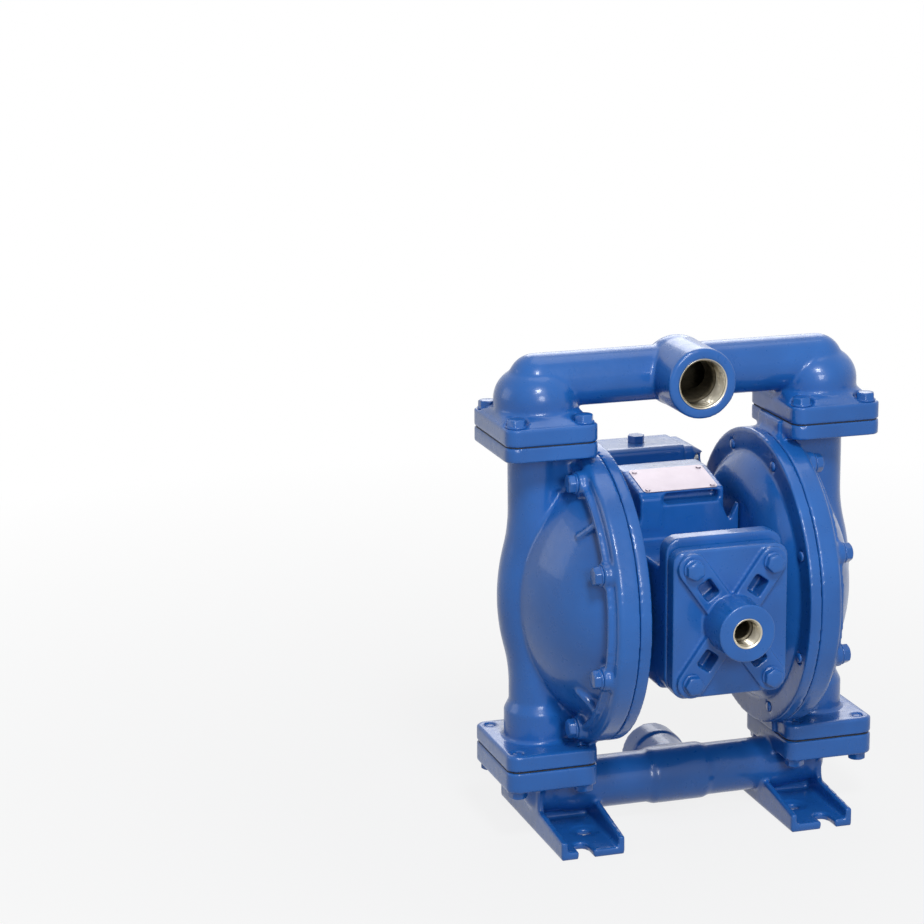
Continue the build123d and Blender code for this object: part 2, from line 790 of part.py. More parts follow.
def hub_screw_places():
    """Y and Z of the hub screws."""
    return [ring_point(45 + 360 / hub_screw_count * k, hub_screw_circle_r) for k in range(hub_screw_count)]


def make_platform():
    """Sloping nameplate platform with its front recess, and the lug beside it."""
    root_z = housing_top_z - platform_root
    slope = Polyline(
        (-platform_front_y, root_z),
        (-platform_front_y, platform_front_z),
        (platform_slope_y, platform_back_z),
        (platform_back_y, platform_back_z),
        (platform_back_y, root_z),
        close=True,
    )
    platform = extrude(Plane.YZ * make_face(slope), platform_half_w, both=True)
    recess_y = -platform_front_y + recess_depth
    recess_z = platform_front_z - recess_under
    platform -= block(recess_x0, recess_x1, -wall_y, recess_y, housing_top_z, recess_z)
    lug_x1 = -platform_half_w / 2
    lug_z0 = housing_top_z - lug_drop
    lug_z1 = platform_front_z - lug_under
    return platform + block(-platform_half_w, lug_x1, -wall_y - lug_ahead, -wall_y + wall_t, lug_z0, lug_z1)


def make_front_wall():
    """Cross wall in front of the platform, with a V notch over each shoulder."""
    notch_x = housing_half_w - notch_part * shoulder_in
    notch_z = shoulder_z + notch_part * shoulder_drop
    half = [
        (housing_half_w, front_top_z - cut_over),
        (housing_half_w, housing_top_z - wall_under_top),
        (notch_x, notch_z),
        (shoulder_x + notch_over, housing_top_z),
    ]
    outline = half + [(-x, z) for x, z in reversed(half)]
    plane = Plane(origin=(0, -wall_y, 0), x_dir=(1, 0, 0), z_dir=(0, -1, 0))
    return extrude(plane * make_face(Polyline(*outline, close=True)), -wall_t)


def make_housing():
    """Centre housing: block with front pad, air chest, rod bore and nameplate platform."""
    outline = Polyline(
        (-housing_half_w, housing_bottom_z),
        (housing_half_w, housing_bottom_z),
        (housing_half_w, shoulder_z),
        (shoulder_x, housing_top_z),
        (-shoulder_x, housing_top_z),
        (-housing_half_w, shoulder_z),
        close=True,
    )
    back_plane = Plane(origin=(0, housing_back_y, 0), x_dir=(1, 0, 0), z_dir=(0, -1, 0))
    length = housing_back_y + pad_y - pad_t + cut_over
    middle = extrude(back_plane * make_face(outline), length)
    middle = fillet(middle.edges().filter_by(Axis.Y).group_by(Axis.Z)[0], housing_round)
    side_x = housing_half_w + cut_over
    middle -= block(-side_x, side_x, -pad_y, -wall_y, front_top_z, housing_top_z + cut_over)
    pad_mid_z = (pad_top_z + housing_bottom_z) / 2
    pad_plane = Plane(origin=(0, -pad_y + pad_t, pad_mid_z), x_dir=(1, 0, 0), z_dir=(0, -1, 0))
    pad_shape = RectangleRounded(2 * housing_half_w, pad_top_z - housing_bottom_z, pad_corner_r)
    exhaust_face = housing_back_y + exhaust_boss_h
    exhaust = round_y(exhaust_boss_r, housing_back_y - cut_over, exhaust_face, z=exhaust_z)
    body = middle + extrude(pad_plane * pad_shape, pad_t) + make_front_wall() + make_platform() + exhaust
    front_y = -pad_y - cut_over
    floor_y = -chest_floor_y
    body -= block(-chest_half_w, chest_half_w, front_y, floor_y, rod_z - chest_half_h, rod_z + chest_half_h)
    body -= round_x(rod_r + rod_relief, -side_x, side_x, z=rod_z)
    pocket_r = rod_r + bush_wall + fit_gap
    pocket_x = housing_half_w - bush_l - rod_seal_l
    screw_x = hub_face_x + dish_floor_t - hub_screw_l - cut_over
    back_y = housing_back_y + cut_over
    cap_bolt_end = -cap_seat_y + cap_bolt_l + cut_over
    for s in (-1, 1):
        body -= round_x(pocket_r, s * pocket_x, s * side_x, z=rod_z)
        body -= round_x(bushing_r + fit_gap, s * (chest_half_w - cut_over), s * side_x, -pilot_y, rod_z)
        body -= round_x(air_way_r, s * air_way_x, s * side_x, air_way_y, air_way_z)
        body -= round_y(air_way_r, air_way_y, back_y, s * air_way_x, air_way_z)
        for y, z in hub_screw_places():
            body -= round_x(hub_screw_r + fit_gap, s * screw_x, s * side_x, y, z)
        for sz in (-1, 1):
            screw_z = rod_z + sz * pilot_screw_z
            screw_y = floor_y + pilot_screw_depth + cut_over
            body -= round_y(small_bolt_r + fit_gap, floor_y - cut_over, screw_y, s * pilot_screw_x, screw_z)
            body -= round_y(bolt_r + fit_gap, front_y, cap_bolt_end, s * cap_bolt_x, rod_z + sz * cap_bolt_z)
        for bolt_z in (valve_bolt_low_z, valve_bolt_high_z):
            bolt_y = housing_back_y - valve_bolt_in - cut_over
            body -= round_y(valve_bolt_r + fit_gap, bolt_y, back_y, s * valve_bolt_x, bolt_z)
    body -= round_y(exhaust_r, exhaust_face - exhaust_depth, exhaust_face + cut_over, z=exhaust_z)
    for x, y in nameplate_pins():
        body -= nameplate_plane() * Pos(x, y, 0) * Cylinder(pin_r + fit_gap, 2 * (pin_l + cut_over))
    return body


def nameplate_plane():
    """Plane of the sloping platform, x across the pump and y up the slope."""
    mid_y = (-platform_front_y + platform_slope_y) / 2
    mid_z = (platform_front_z + platform_back_z) / 2
    run = platform_slope_y + platform_front_y
    rise = platform_back_z - platform_front_z
    return Plane(origin=(0, mid_y, mid_z), x_dir=(1, 0, 0), z_dir=(0, -rise, run))


def nameplate_pins():
    """Places of the four drive pins on the plate."""
    dx = plate_w / 2 - pin_inset
    dy = plate_l / 2 - pin_inset
    return [(-dx, -dy), (dx, -dy), (-dx, dy), (dx, dy)]


def make_nameplate():
    """Bare plate on the sloping platform, held by drive pins."""
    outline = RectangleRounded(plate_w, plate_l, plate_corner_r)
    for x, y in nameplate_pins():
        outline -= Pos(x, y) * Circle(pin_r + fit_gap)
    return extrude(nameplate_plane() * outline, plate_t)


def make_nameplate_pins():
    """The four drive pins of the nameplate."""
    pins = []
    for x, y in nameplate_pins():
        pin = Pos(x, y, -pin_l / 2) * Cylinder(pin_r, pin_l + 2 * plate_t)
        pin = pin + Pos(x, y, plate_t + pin_head_h / 2) * Cylinder(pin_head_r, pin_head_h)
        pins.append(nameplate_plane() * pin)
    return pins


def cap_plane(y):
    """Plane facing the front at a distance in front of the rod, x across and y up."""
    return Plane(origin=(0, -y, rod_z), x_dir=(1, 0, 0), z_dir=(0, -1, 0))


def cap_corners():
    """The four bolt places of the air inlet cap, from its centre."""
    return [(sx * cap_bolt_x, sz * cap_bolt_z) for sx in (-1, 1) for sz in (-1, 1)]


def make_air_cap():
    """Air inlet cap: plate, four pocketed arms, corner bosses and the threaded boss."""
    plate = RectangleRounded(2 * cap_half_w, 2 * cap_half_h, cap_corner_r)
    cap = extrude(cap_plane(cap_back_y) * plate, cap_t)
    cap = chamfer(cap.edges().group_by(Axis.Y)[0], cap_edge)
    reach = hypot(cap_bolt_x, cap_bolt_z)
    root = cap_plane(cap_face_y - cut_over)
    rise = cap_arm_rise + cut_over
    cut_l = cap_t + cap_arm_rise + 2 * cut_over
    for x, z in cap_corners():
        turn = Rot(0, 0, Axis.X.direction.get_signed_angle(Vector(x, z, 0), Vector(0, 0, 1)))
        cap += extrude(root * turn * Pos(reach / 2, 0) * Rectangle(reach, cap_arm_w), rise)
        cap += extrude(root * Pos(x, z) * Circle(cap_boss_r), rise)
    cap += extrude(root * Circle(inlet_boss_r), rise + inlet_boss_h)
    for x, z in cap_corners():
        turn = Rot(0, 0, Axis.X.direction.get_signed_angle(Vector(x, z, 0), Vector(0, 0, 1)))
        pocket = turn * Pos(cap_pocket_at, 0) * RectangleRounded(cap_pocket_l, cap_pocket_w, cap_pocket_r)
        cap -= extrude(cap_plane(cap_back_y + cap_pocket_floor) * pocket, cut_l)
        cap -= extrude(cap_plane(cap_back_y - cut_over) * Pos(x, z) * Circle(bolt_r + fit_gap), cut_l)
    mouth_y = -inlet_face_y - cut_over
    cap -= round_y(inlet_passage_r, mouth_y, -cap_back_y + cut_over, z=rod_z)
    cap -= round_y(inlet_r, mouth_y, -inlet_face_y + inlet_depth, z=rod_z)
    mouth_h = inlet_mouth_r - inlet_r
    cap -= cap_plane(inlet_face_y) * Cone(inlet_r, inlet_mouth_r + mouth_h, 2 * mouth_h)
    return cap


def make_cap_gasket():
    """Flat gasket between the cap and the pad."""
    inset = 2 * gasket_inset
    outline = RectangleRounded(2 * cap_half_w - inset, 2 * cap_half_h - inset, cap_corner_r)
    outline -= Rectangle(2 * chest_half_w, 2 * chest_half_h)
    for x, z in cap_corners():
        outline -= Pos(x, z) * Circle(bolt_r + fit_gap)
    return extrude(cap_plane(pad_y) * outline, cap_gasket_t)


def make_cap_bolts():
    """The four bolts of the air inlet cap."""
    return [cap_plane(cap_seat_y) * Pos(x, z, 0) * bolt(cap_bolt_l) for x, z in cap_corners()]


def make_pilot():
    """Pilot valve in the air chest: body, gasket, screws and spool."""
    back = chest_floor_y + pilot_gasket_t
    front = back + pilot_t
    half_w = pilot_half_w
    z0 = rod_z - pilot_half_h
    z1 = rod_z + pilot_half_h
    body = block(-half_w, half_w, -front, -back, z0, z1)
    body = chamfer(body.edges().filter_by(Axis.X), pilot_edge)
    body -= round_x(pilot_spool_r + run_gap, -half_w - cut_over, half_w + cut_over, -pilot_y, rod_z)
    gasket = block(-half_w, half_w, -back, -chest_floor_y, z0, z1)
    screws = []
    for sx in (-1, 1):
        for sz in (-1, 1):
            x = sx * pilot_screw_x
            z = rod_z + sz * pilot_screw_z
            hole = round_y(small_bolt_r + fit_gap, -front - cut_over, 0, x, z)
            body -= hole
            gasket -= hole
            shank = round_y(small_bolt_r, -front, -chest_floor_y + pilot_screw_depth, x, z)
            screws.append(shank + round_y(small_head_r, -front - small_head_h, -front, x, z))
    for px in (-pilot_port_pitch, 0, pilot_port_pitch):
        hole = round_y(pilot_port_r, -pilot_y, 0, px, rod_z)
        body -= hole
        gasket -= hole
    spool = round_x(pilot_spool_r, -pilot_spool_half_l, pilot_spool_half_l, -pilot_y, rod_z)
    half_groove = pilot_groove_w / 2
    for px in (-pilot_port_pitch, pilot_port_pitch):
        groove = round_x(pilot_spool_r + cut_over, px - half_groove, px + half_groove, -pilot_y, rod_z)
        groove -= round_x(pilot_groove_r, px - pilot_groove_w, px + pilot_groove_w, -pilot_y, rod_z)
        spool -= groove
    return body, gasket, screws, spool


def make_plunger():
    """Right actuator plunger between the pilot spool and the inner plate."""
    start = pilot_spool_half_l + body_gap
    shaft = round_x(plunger_r, start, plunger_end_x, -pilot_y, rod_z)
    return chamfer(shaft.edges().group_by(Axis.X)[-1], bolt_chamfer)


def make_bushing():
    """Right plunger bushing through the housing wall and the chamber hub."""
    end_x = dish_floor_x + cut_over
    tube = round_x(bushing_r, chest_half_w, end_x, -pilot_y, rod_z)
    return tube - round_x(plunger_r + run_gap, chest_half_w - cut_over, end_x + cut_over, -pilot_y, rod_z)


def make_hub_gasket():
    """Gasket between the centre housing and the right inner chamber."""
    end_x = hub_face_x + cut_over
    disc = round_x(hub_r - gasket_inset, housing_half_w, hub_face_x, z=rod_z)
    low_z = housing_bottom_z + housing_round
    disc &= block(0, end_x, -pad_y + pad_t, housing_back_y, low_z, shoulder_z - gasket_inset)
    disc -= round_x(rod_r + rod_relief, 0, end_x, z=rod_z)
    disc -= round_x(bushing_r + fit_gap, 0, end_x, -pilot_y, rod_z)
    disc -= round_x(air_way_r, 0, end_x, air_way_y, air_way_z)
    for y, z in hub_screw_places():
        disc -= round_x(hub_screw_r + fit_gap, 0, end_x, y, z)
    return disc


def make_hub_screws():
    """Screws that hold the right inner chamber, heads inside the air space."""
    screws = []
    for y, z in hub_screw_places():
        screw = round_x(hub_screw_r, dish_floor_x - hub_screw_l, dish_floor_x, y, z)
        screws.append(screw + round_x(hub_screw_head_r, dish_floor_x, dish_floor_x + hub_screw_head_h, y, z))
    return screws


def make_rod():
    """Diaphragm rod with a threaded stud at each end."""
    stud_x = outer_plate_x + rod_nut_h + stud_end
    rod = round_x(rod_r, -inner_plate_x, inner_plate_x, z=rod_z)
    stud = round_x(rod_stud_r, -stud_x, stud_x, z=rod_z)
    return rod + chamfer(stud.edges().filter_by(GeomType.CIRCLE), bolt_chamfer)


def make_bush():
    """Right rod bush."""
    x1 = housing_half_w - rod_seal_l
    tube = round_x(rod_r + bush_wall, x1 - bush_l, x1, z=rod_z)
    return tube - round_x(rod_r + run_gap, 0, x1 + 1, z=rod_z)


def make_rod_seal():
    """Right rod seal, trapped behind the chamber hub."""
    x1 = housing_half_w
    ring = round_x(rod_r + bush_wall, x1 - rod_seal_l, x1, z=rod_z)
    return ring - round_x(rod_r + run_gap, 0, x1 + 1, z=rod_z)


def make_bumper():
    """Right rubber bumper ring on the chamber hub floor."""
    r0 = rod_r + rod_relief
    ring = round_x(r0 + bumper_wall, dish_floor_x, dish_floor_x + bumper_t, z=rod_z)
    return ring - round_x(r0, 0, dish_floor_x + bumper_t + 1, z=rod_z)


def make_inner_plate():
    """Right inner plate on the air side of the diaphragm."""
    edge = inner_plate_x + inner_plate_t - plate_edge_t
    return turned_x(
        [
            (inner_plate_x, rod_stud_r + run_gap),
            (inner_plate_x, plate_r * inner_plate_flat),
            (edge, plate_r),
            (diaphragm_x, plate_r),
            (diaphragm_x, rod_stud_r + run_gap),
        ]
    )


def make_outer_plate():
    """Right outer plate on the liquid side of the diaphragm."""
    return turned_x(
        [
            (outer_face_x, rod_stud_r + run_gap),
            (outer_face_x, plate_r),
            (outer_face_x + plate_edge_t, plate_r),
            (outer_plate_x, plate_r * outer_plate_flat),
            (outer_plate_x, rod_stud_r + run_gap),
        ]
    )


def make_rod_nut():
    """Right nut on the rod's stud."""
    nut = Pos(outer_plate_x, 0, rod_z) * Rot(0, 90, 0) * hexagon(rod_nut_af, rod_nut_h)
    end_x = outer_plate_x + rod_nut_h + cut_over
    return nut - round_x(rod_stud_r + run_gap, outer_plate_x - cut_over, end_x, z=rod_z)


def make_diaphragm():
    """Right diaphragm: clamped rim, one convolution, flat centre between the plates."""
    x0 = diaphragm_x
    x1 = outer_face_x
    a = convolution_r - convolution_half_w
    b = convolution_r + convolution_half_w
    top = convolution_rise
    inner_side = Line((x0, rod_stud_r + run_gap), (x0, a))
    inner_arc = ThreePointArc((x0, a), (x0 + top, convolution_r), (x0, b))
    rim_r = ring_r - diaphragm_in
    rim = Polyline((x0, b), (x0, rim_r), (x1, rim_r), (x1, b))
    outer_arc = ThreePointArc((x1, b), (x1 + top, convolution_r), (x1, a))
    outer_side = Polyline((x1, a), (x1, rod_stud_r + run_gap), (x0, rod_stud_r + run_gap))
    face = make_face(inner_side + inner_arc + rim + outer_arc + outer_side)
    disc = Pos(0, 0, rod_z) * revolve(face, axis=Axis.X)
    for hole in ring_holes(bolt_r + fit_gap, x0 - cut_over, x1 + cut_over):
        disc -= hole
    return disc


def make_ring_bolts():
    """The bolts of the right chamber ring, their ends just through the inner ring."""
    bolts = []
    length = bolt_seat_x - inner_ring_x + bolt_end_l
    for angle in ring_angles:
        y, z = ring_point(angle, ring_bolt_circle_r)
        bolts.append(Pos(bolt_seat_x, y, z) * Rot(0, 90, 0) * bolt(length))
    return bolts


def make_flange_bolts():
    """Right-hand bolts of both manifolds: heads above the top flange, below the lower one."""
    upper = []
    lower = []
    grip_up = discharge_flange_t + seam_gasket_t + chamber_top_flange_t - cut_over
    grip_down = suction_flange_t + seam_gasket_t + chamber_foot_flange_t - cut_over
    for sx in (-1, 1):
        for sy in (-1, 1):
            x = duct_x + sx * flange_bolt_dx
            y = sy * flange_bolt_dy
            upper.append(Pos(x, y, discharge_flange_top) * bolt(grip_up))
            lower.append(Pos(x, y, suction_flange_z) * Rot(180, 0, 0) * bolt(grip_down))
    return upper, lower


def make_seam_gasket(z0):
    """Flat gasket of a right-hand flange joint."""
    inset = 2 * gasket_inset
    outline = RectangleRounded(flange_w - inset, flange_d - inset, flange_corner_r)
    outline -= Circle(cage_r)
    for sx in (-1, 1):
        for sy in (-1, 1):
            outline -= Pos(sx * flange_bolt_dx, sy * flange_bolt_dy) * Circle(bolt_r + fit_gap)
    return Pos(duct_x, 0, z0) * extrude(outline, seam_gasket_t)


def make_seat(top_z):
    """Right valve seat ring with its top face at the given height."""
    return turned_z(
        [
            (seat_bore_r, top_z - seat_t),
            (seat_r, top_z - seat_t),
            (seat_r, top_z),
            (seat_bore_r + seat_chamfer, top_z),
            (seat_bore_r, top_z - seat_chamfer),
        ],
        duct_x,
    )


def make_ball(seat_z):
    """Right check ball resting over the seat."""
    return Pos(duct_x, 0, seat_z + ball_above_seat) * Sphere(ball_r)


def make_main_valve():
    """Main air valve on the back of the housing: body, gasket and mounting bolts."""
    y0 = housing_back_y + valve_gasket_t
    y1 = y0 + valve_t
    axis_y = y0 + spool_y
    end_x = valve_half_w + cut_over
    body = block(-valve_half_w, valve_half_w, y0, y1, valve_bottom_z, valve_top_z)
    body = fillet(body.edges().filter_by(Axis.X), valve_round)
    body -= round_x(sleeve_r + fit_gap, -end_x, end_x, axis_y, spool_z)
    gasket_x = valve_half_w - valve_gasket_in
    gasket_z = valve_bottom_z + valve_gasket_in
    gasket = block(-gasket_x, gasket_x, housing_back_y, y0, gasket_z, shoulder_z)
    bolts = []
    for sx in (-1, 1):
        for z in (valve_bolt_low_z, valve_bolt_high_z):
            x = sx * valve_bolt_x
            hole = round_y(valve_bolt_r + fit_gap, 0, y1 + cut_over, x, z)
            body -= hole
            gasket -= hole
            shank = round_y(valve_bolt_r, housing_back_y - valve_bolt_in, y1, x, z)
            bolts.append(shank + round_y(valve_bolt_head_r, y1, y1 + valve_bolt_head_h, x, z))
        way = round_y(air_way_r, housing_back_y - cut_over, axis_y, sx * air_way_x, air_way_z)
        body -= way
        gasket -= way
        screw_x = sx * (valve_half_w - end_screw_in - cut_over)
        for dy, dz in end_cap_screws():
            body -= round_x(small_bolt_r + fit_gap, screw_x, sx * end_x, axis_y + dy, spool_z + dz)
    stem_z = valve_top_z - plug_stem_l - cut_over
    body -= round_z(plug_stem_r + fit_gap, stem_z, valve_top_z + cut_over, plug_x, axis_y)
    return body, gasket, bolts


def make_valve_plug():
    """Hexagon plug in the top of the main valve."""
    axis_y = housing_back_y + valve_gasket_t + spool_y
    stem = round_z(plug_stem_r, valve_top_z - plug_stem_l, valve_top_z, plug_x, axis_y)
    return stem + Pos(plug_x, axis_y, valve_top_z) * hexagon(2 * plug_r, plug_h)


def make_valve_spool():
    """Slotted sleeve of the main valve and the spool that slides in it."""
    axis_y = housing_back_y + valve_gasket_t + spool_y
    bore_l = sleeve_half_l + cut_over
    sleeve = round_x(sleeve_r, -sleeve_half_l, sleeve_half_l, axis_y, spool_z)
    sleeve -= round_x(spool_r + run_gap, -bore_l, bore_l, axis_y, spool_z)
    half_w = sleeve_slot_w / 2
    half_h = sleeve_slot_h / 2
    slot_y0 = axis_y - sleeve_r - cut_over
    slot_y1 = axis_y - spool_r + sleeve_slot_depth
    for k in range(-2, 3):
        px = k * sleeve_slot_pitch
        sleeve -= block(px - half_w, px + half_w, slot_y0, slot_y1, spool_z - half_h, spool_z + half_h)
    spool = round_x(spool_r, -spool_half_l, spool_half_l, axis_y, spool_z)
    half_groove = spool_groove_w / 2
    for px in (-sleeve_slot_pitch, sleeve_slot_pitch):
        groove = round_x(spool_r + cut_over, px - half_groove, px + half_groove, axis_y, spool_z)
        groove -= round_x(spool_groove_r, px - spool_groove_w, px + spool_groove_w, axis_y, spool_z)
        spool -= groove
    return sleeve, spool


def end_cap_screws():
    """Screw places of a valve end cap, from the spool axis."""
    return [(sy * end_cap_screw_d, sz * end_cap_screw_d) for sy in (-1, 1) for sz in (-1, 1)]


def make_end_cap():
    """Right end cap of the main valve and its screws."""
    axis_y = housing_back_y + valve_gasket_t + spool_y
    half_y = valve_t - spool_y
    x0 = valve_half_w - cut_over
    x1 = valve_half_w + end_cap_t + cut_over
    foot = Plane(origin=(valve_half_w, axis_y, spool_z), x_dir=(0, 1, 0), z_dir=(1, 0, 0))
    outline = RectangleRounded(2 * half_y, 2 * end_cap_half_h, valve_round)
    cap = extrude(foot * outline, end_cap_flat_t)
    crown = foot * Pos(0, 0, end_cap_flat_t) * outline
    cap += extrude(crown, end_cap_t - end_cap_flat_t, taper=end_cap_taper)
    cap -= round_x(spool_r + cut_over, x0, valve_half_w + spool_travel, axis_y, spool_z)
    screws = []
    seat_x = valve_half_w + end_screw_seat
    for dy, dz in end_cap_screws():
        y = axis_y + dy
        z = spool_z + dz
        cap -= round_x(small_bolt_r + fit_gap, x0, x1, y, z)
        cap -= round_x(small_head_r + cut_over, seat_x, x1, y, z)
        screw = round_x(small_bolt_r, valve_half_w - end_screw_in, seat_x, y, z)
        screws.append(screw + round_x(small_head_r, seat_x, seat_x + small_head_h, y, z))
    return cap, screws


def group(solids):
    """Several separate solids as one shape."""
    found = []
    for item in solids:
        found.extend(item.solids())
    return Compound(children=found)


def build():
    """Every node of the pump, by name."""
    parts = {}
    parts["discharge_manifold"] = make_discharge_manifold()
    parts["suction_manifold"] = make_suction_manifold()
    outer = make_outer_chamber()
    inner = make_inner_chamber()
    parts["right_outer_chamber"] = outer
    parts["left_outer_chamber"] = mirrored(outer)
    parts["right_inner_chamber"] = inner
    parts["left_inner_chamber"] = mirrored(inner)
    parts["centre_housing"] = make_housing()
    parts["air_inlet_cap"] = make_air_cap()
    parts["air_cap_gasket"] = make_cap_gasket()
    parts["air_cap_bolts"] = group(make_cap_bolts())
    parts["nameplate"] = make_nameplate()
    parts["nameplate_pins"] = group(make_nameplate_pins())
    pilot_body, pilot_gasket, pilot_screws, pilot_spool = make_pilot()
    parts["pilot_valve_body"] = pilot_body
    parts["pilot_valve_gasket"] = pilot_gasket
    parts["pilot_valve_screws"] = group(pilot_screws)
    parts["pilot_spool"] = pilot_spool
    plunger = make_plunger()
    parts["right_plunger"] = plunger
    parts["left_plunger"] = mirrored(plunger)
    pairs = {
        "plunger_bushings": make_bushing(),
        "hub_gaskets": make_hub_gasket(),
        "rod_bushes": make_bush(),
        "rod_seals": make_rod_seal(),
        "rod_bumpers": make_bumper(),
        "inner_plates": make_inner_plate(),
        "outer_plates": make_outer_plate(),
        "rod_nuts": make_rod_nut(),
        "discharge_gaskets": make_seam_gasket(chamber_top_z),
        "suction_gaskets": make_seam_gasket(suction_top_z),
        "discharge_seats": make_seat(discharge_seat_z),
        "suction_seats": make_seat(suction_seat_z),
    }
    for name, shape in pairs.items():
        parts[name] = group([shape, mirrored(shape)])
    screws = make_hub_screws()
    parts["hub_screws"] = group(screws + [mirrored(s) for s in screws])
    parts["diaphragm_rod"] = make_rod()
    diaphragm = make_diaphragm()
    parts["right_diaphragm"] = diaphragm
    parts["left_diaphragm"] = mirrored(diaphragm)
    ring_bolts = make_ring_bolts()
    parts["right_ring_bolts"] = group(ring_bolts)
    parts["left_ring_bolts"] = group([mirrored(b) for b in ring_bolts])
    upper, lower = make_flange_bolts()
    parts["discharge_flange_bolts"] = group(upper + [mirrored(b) for b in upper])
    parts["suction_flange_bolts"] = group(lower + [mirrored(b) for b in lower])
    discharge_ball = make_ball(discharge_seat_z)
    suction_ball = make_ball(suction_seat_z)
    parts["right_discharge_ball"] = discharge_ball
    parts["left_discharge_ball"] = mirrored(discharge_ball)
    parts["right_suction_ball"] = suction_ball
    parts["left_suction_ball"] = mirrored(suction_ball)
    body, gasket, bolts = make_main_valve()
    sleeve, spool = make_valve_spool()
    parts["main_valve_body"] = body
    parts["main_valve_gasket"] = gasket
    parts["main_valve_bolts"] = group(bolts)
    parts["main_valve_sleeve"] = sleeve
    parts["main_valve_spool"] = spool
    parts["valve_plug"] = make_valve_plug()
    end_cap, end_screws = make_end_cap()
    parts["right_valve_end_cap"] = end_cap
    parts["left_valve_end_cap"] = mirrored(end_cap)
    parts["valve_end_cap_screws"] = group(end_screws + [mirrored(s) for s in end_screws])
    return parts


os.makedirs("parts", exist_ok=True)
for node, shape in build().items():
    export_step(shape, f"parts/{node}.step")
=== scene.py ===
"""Looks of a cast-metal air-operated diaphragm pump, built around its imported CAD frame."""

import json
import math

import bmesh
import bpy
from mathutils import Matrix, Vector


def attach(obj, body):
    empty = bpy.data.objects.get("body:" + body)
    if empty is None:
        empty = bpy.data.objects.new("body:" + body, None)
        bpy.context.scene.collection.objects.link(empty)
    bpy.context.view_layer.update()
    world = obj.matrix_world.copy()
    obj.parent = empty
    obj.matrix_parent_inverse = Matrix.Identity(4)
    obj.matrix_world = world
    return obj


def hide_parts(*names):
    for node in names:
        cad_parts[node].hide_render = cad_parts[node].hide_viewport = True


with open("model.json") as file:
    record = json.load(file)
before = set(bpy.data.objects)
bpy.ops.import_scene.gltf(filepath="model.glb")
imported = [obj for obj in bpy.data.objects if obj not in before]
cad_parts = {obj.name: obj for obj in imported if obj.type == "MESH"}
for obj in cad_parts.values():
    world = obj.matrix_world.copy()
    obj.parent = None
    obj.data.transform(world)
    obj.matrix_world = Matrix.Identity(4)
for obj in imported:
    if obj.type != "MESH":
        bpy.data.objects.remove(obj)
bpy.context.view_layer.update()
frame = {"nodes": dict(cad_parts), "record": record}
scene = bpy.context.scene
scene.view_settings.view_transform = "Standard"

# Camera
# The photograph's viewpoint: front left of the pump and slightly above it,
# from about three metres away with a long lens.
camera_place = Vector((-1.03162, -2.62284, 1.06613))
camera_right = Vector((0.955396, -0.295193, -0.008950))
camera_up = Vector((0.078663, 0.225152, 0.971143))
camera_lens_mm = 111.174
sensor_width_mm = 36.0
camera_data = bpy.data.cameras.new("camera")
camera_data.lens = camera_lens_mm
camera_data.sensor_width = sensor_width_mm
camera = bpy.data.objects.new("camera", camera_data)
scene.collection.objects.link(camera)
camera_back = camera_right.cross(camera_up)
turn = Matrix((camera_right, camera_up, camera_back)).transposed()
camera.matrix_world = Matrix.Translation(camera_place) @ turn.to_4x4()
scene.camera = camera

# Studio
# A pale floor and soft lamps, as in a product photograph. Camera, glossy and
# transmission rays see a white room, and the floor keeps the pump's shadow.


def linear(hex_colour):
    """An sRGB hex colour as the linear RGBA that shaders take."""
    parts = [int(hex_colour[i : i + 2], 16) / 255 for i in (1, 3, 5)]
    return (*[c / 12.92 if c <= 0.04045 else ((c + 0.055) / 1.055) ** 2.4 for c in parts], 1.0)


def add(tree, kind, links=None, **settings):
    """Adds a node: settings are its properties, links give values or sockets to its inputs."""
    node = tree.nodes.new(kind)
    for key, value in settings.items():
        setattr(node, key, value)
    for key, value in (links or {}).items():
        if isinstance(value, bpy.types.NodeSocket):
            tree.links.new(value, node.inputs[key])
        else:
            node.inputs[key].default_value = value
    return node


def fresh_tree(owner):
    """The owner's node tree, emptied."""
    owner.use_nodes = True
    owner.node_tree.nodes.clear()
    return owner.node_tree


def looked_at(tree):
    """1 for camera, glossy and transmission rays, and 0 for the light that falls on the pump."""
    path = add(tree, "ShaderNodeLightPath").outputs
    seen = path["Is Camera Ray"]
    for ray in ("Is Glossy Ray", "Is Transmission Ray"):
        seen = add(tree, "ShaderNodeMath", {0: seen, 1: path[ray]}, operation="MAXIMUM").outputs[0]
    return seen


room_strength = 0.16
world = bpy.data.worlds.new("studio")
scene.world = world
tree = fresh_tree(world)
seen = looked_at(tree)
room = add(tree, "ShaderNodeBackground", {"Color": linear("#F4F6FA"), "Strength": room_strength})
white = add(tree, "ShaderNodeBackground", {"Color": linear("#FFFFFF"), "Strength": 1.0})
both = add(tree, "ShaderNodeMixShader", {0: seen, 1: room.outputs[0], 2: white.outputs[0]})
add(tree, "ShaderNodeOutputWorld", {"Surface": both.outputs[0]})

floor_half = 40.0
floor_mesh = bpy.data.meshes.new("floor")
corners = [(-1, -1), (1, -1), (1, 1), (-1, 1)]
floor_mesh.from_pydata([(x * floor_half, y * floor_half, 0.0) for x, y in corners], [], [(0, 1, 2, 3)])
floor = bpy.data.objects.new("floor", floor_mesh)
scene.collection.objects.link(floor)
floor_paint = bpy.data.materials.new("pale_floor")
tree = fresh_tree(floor_paint)
seen = looked_at(tree)
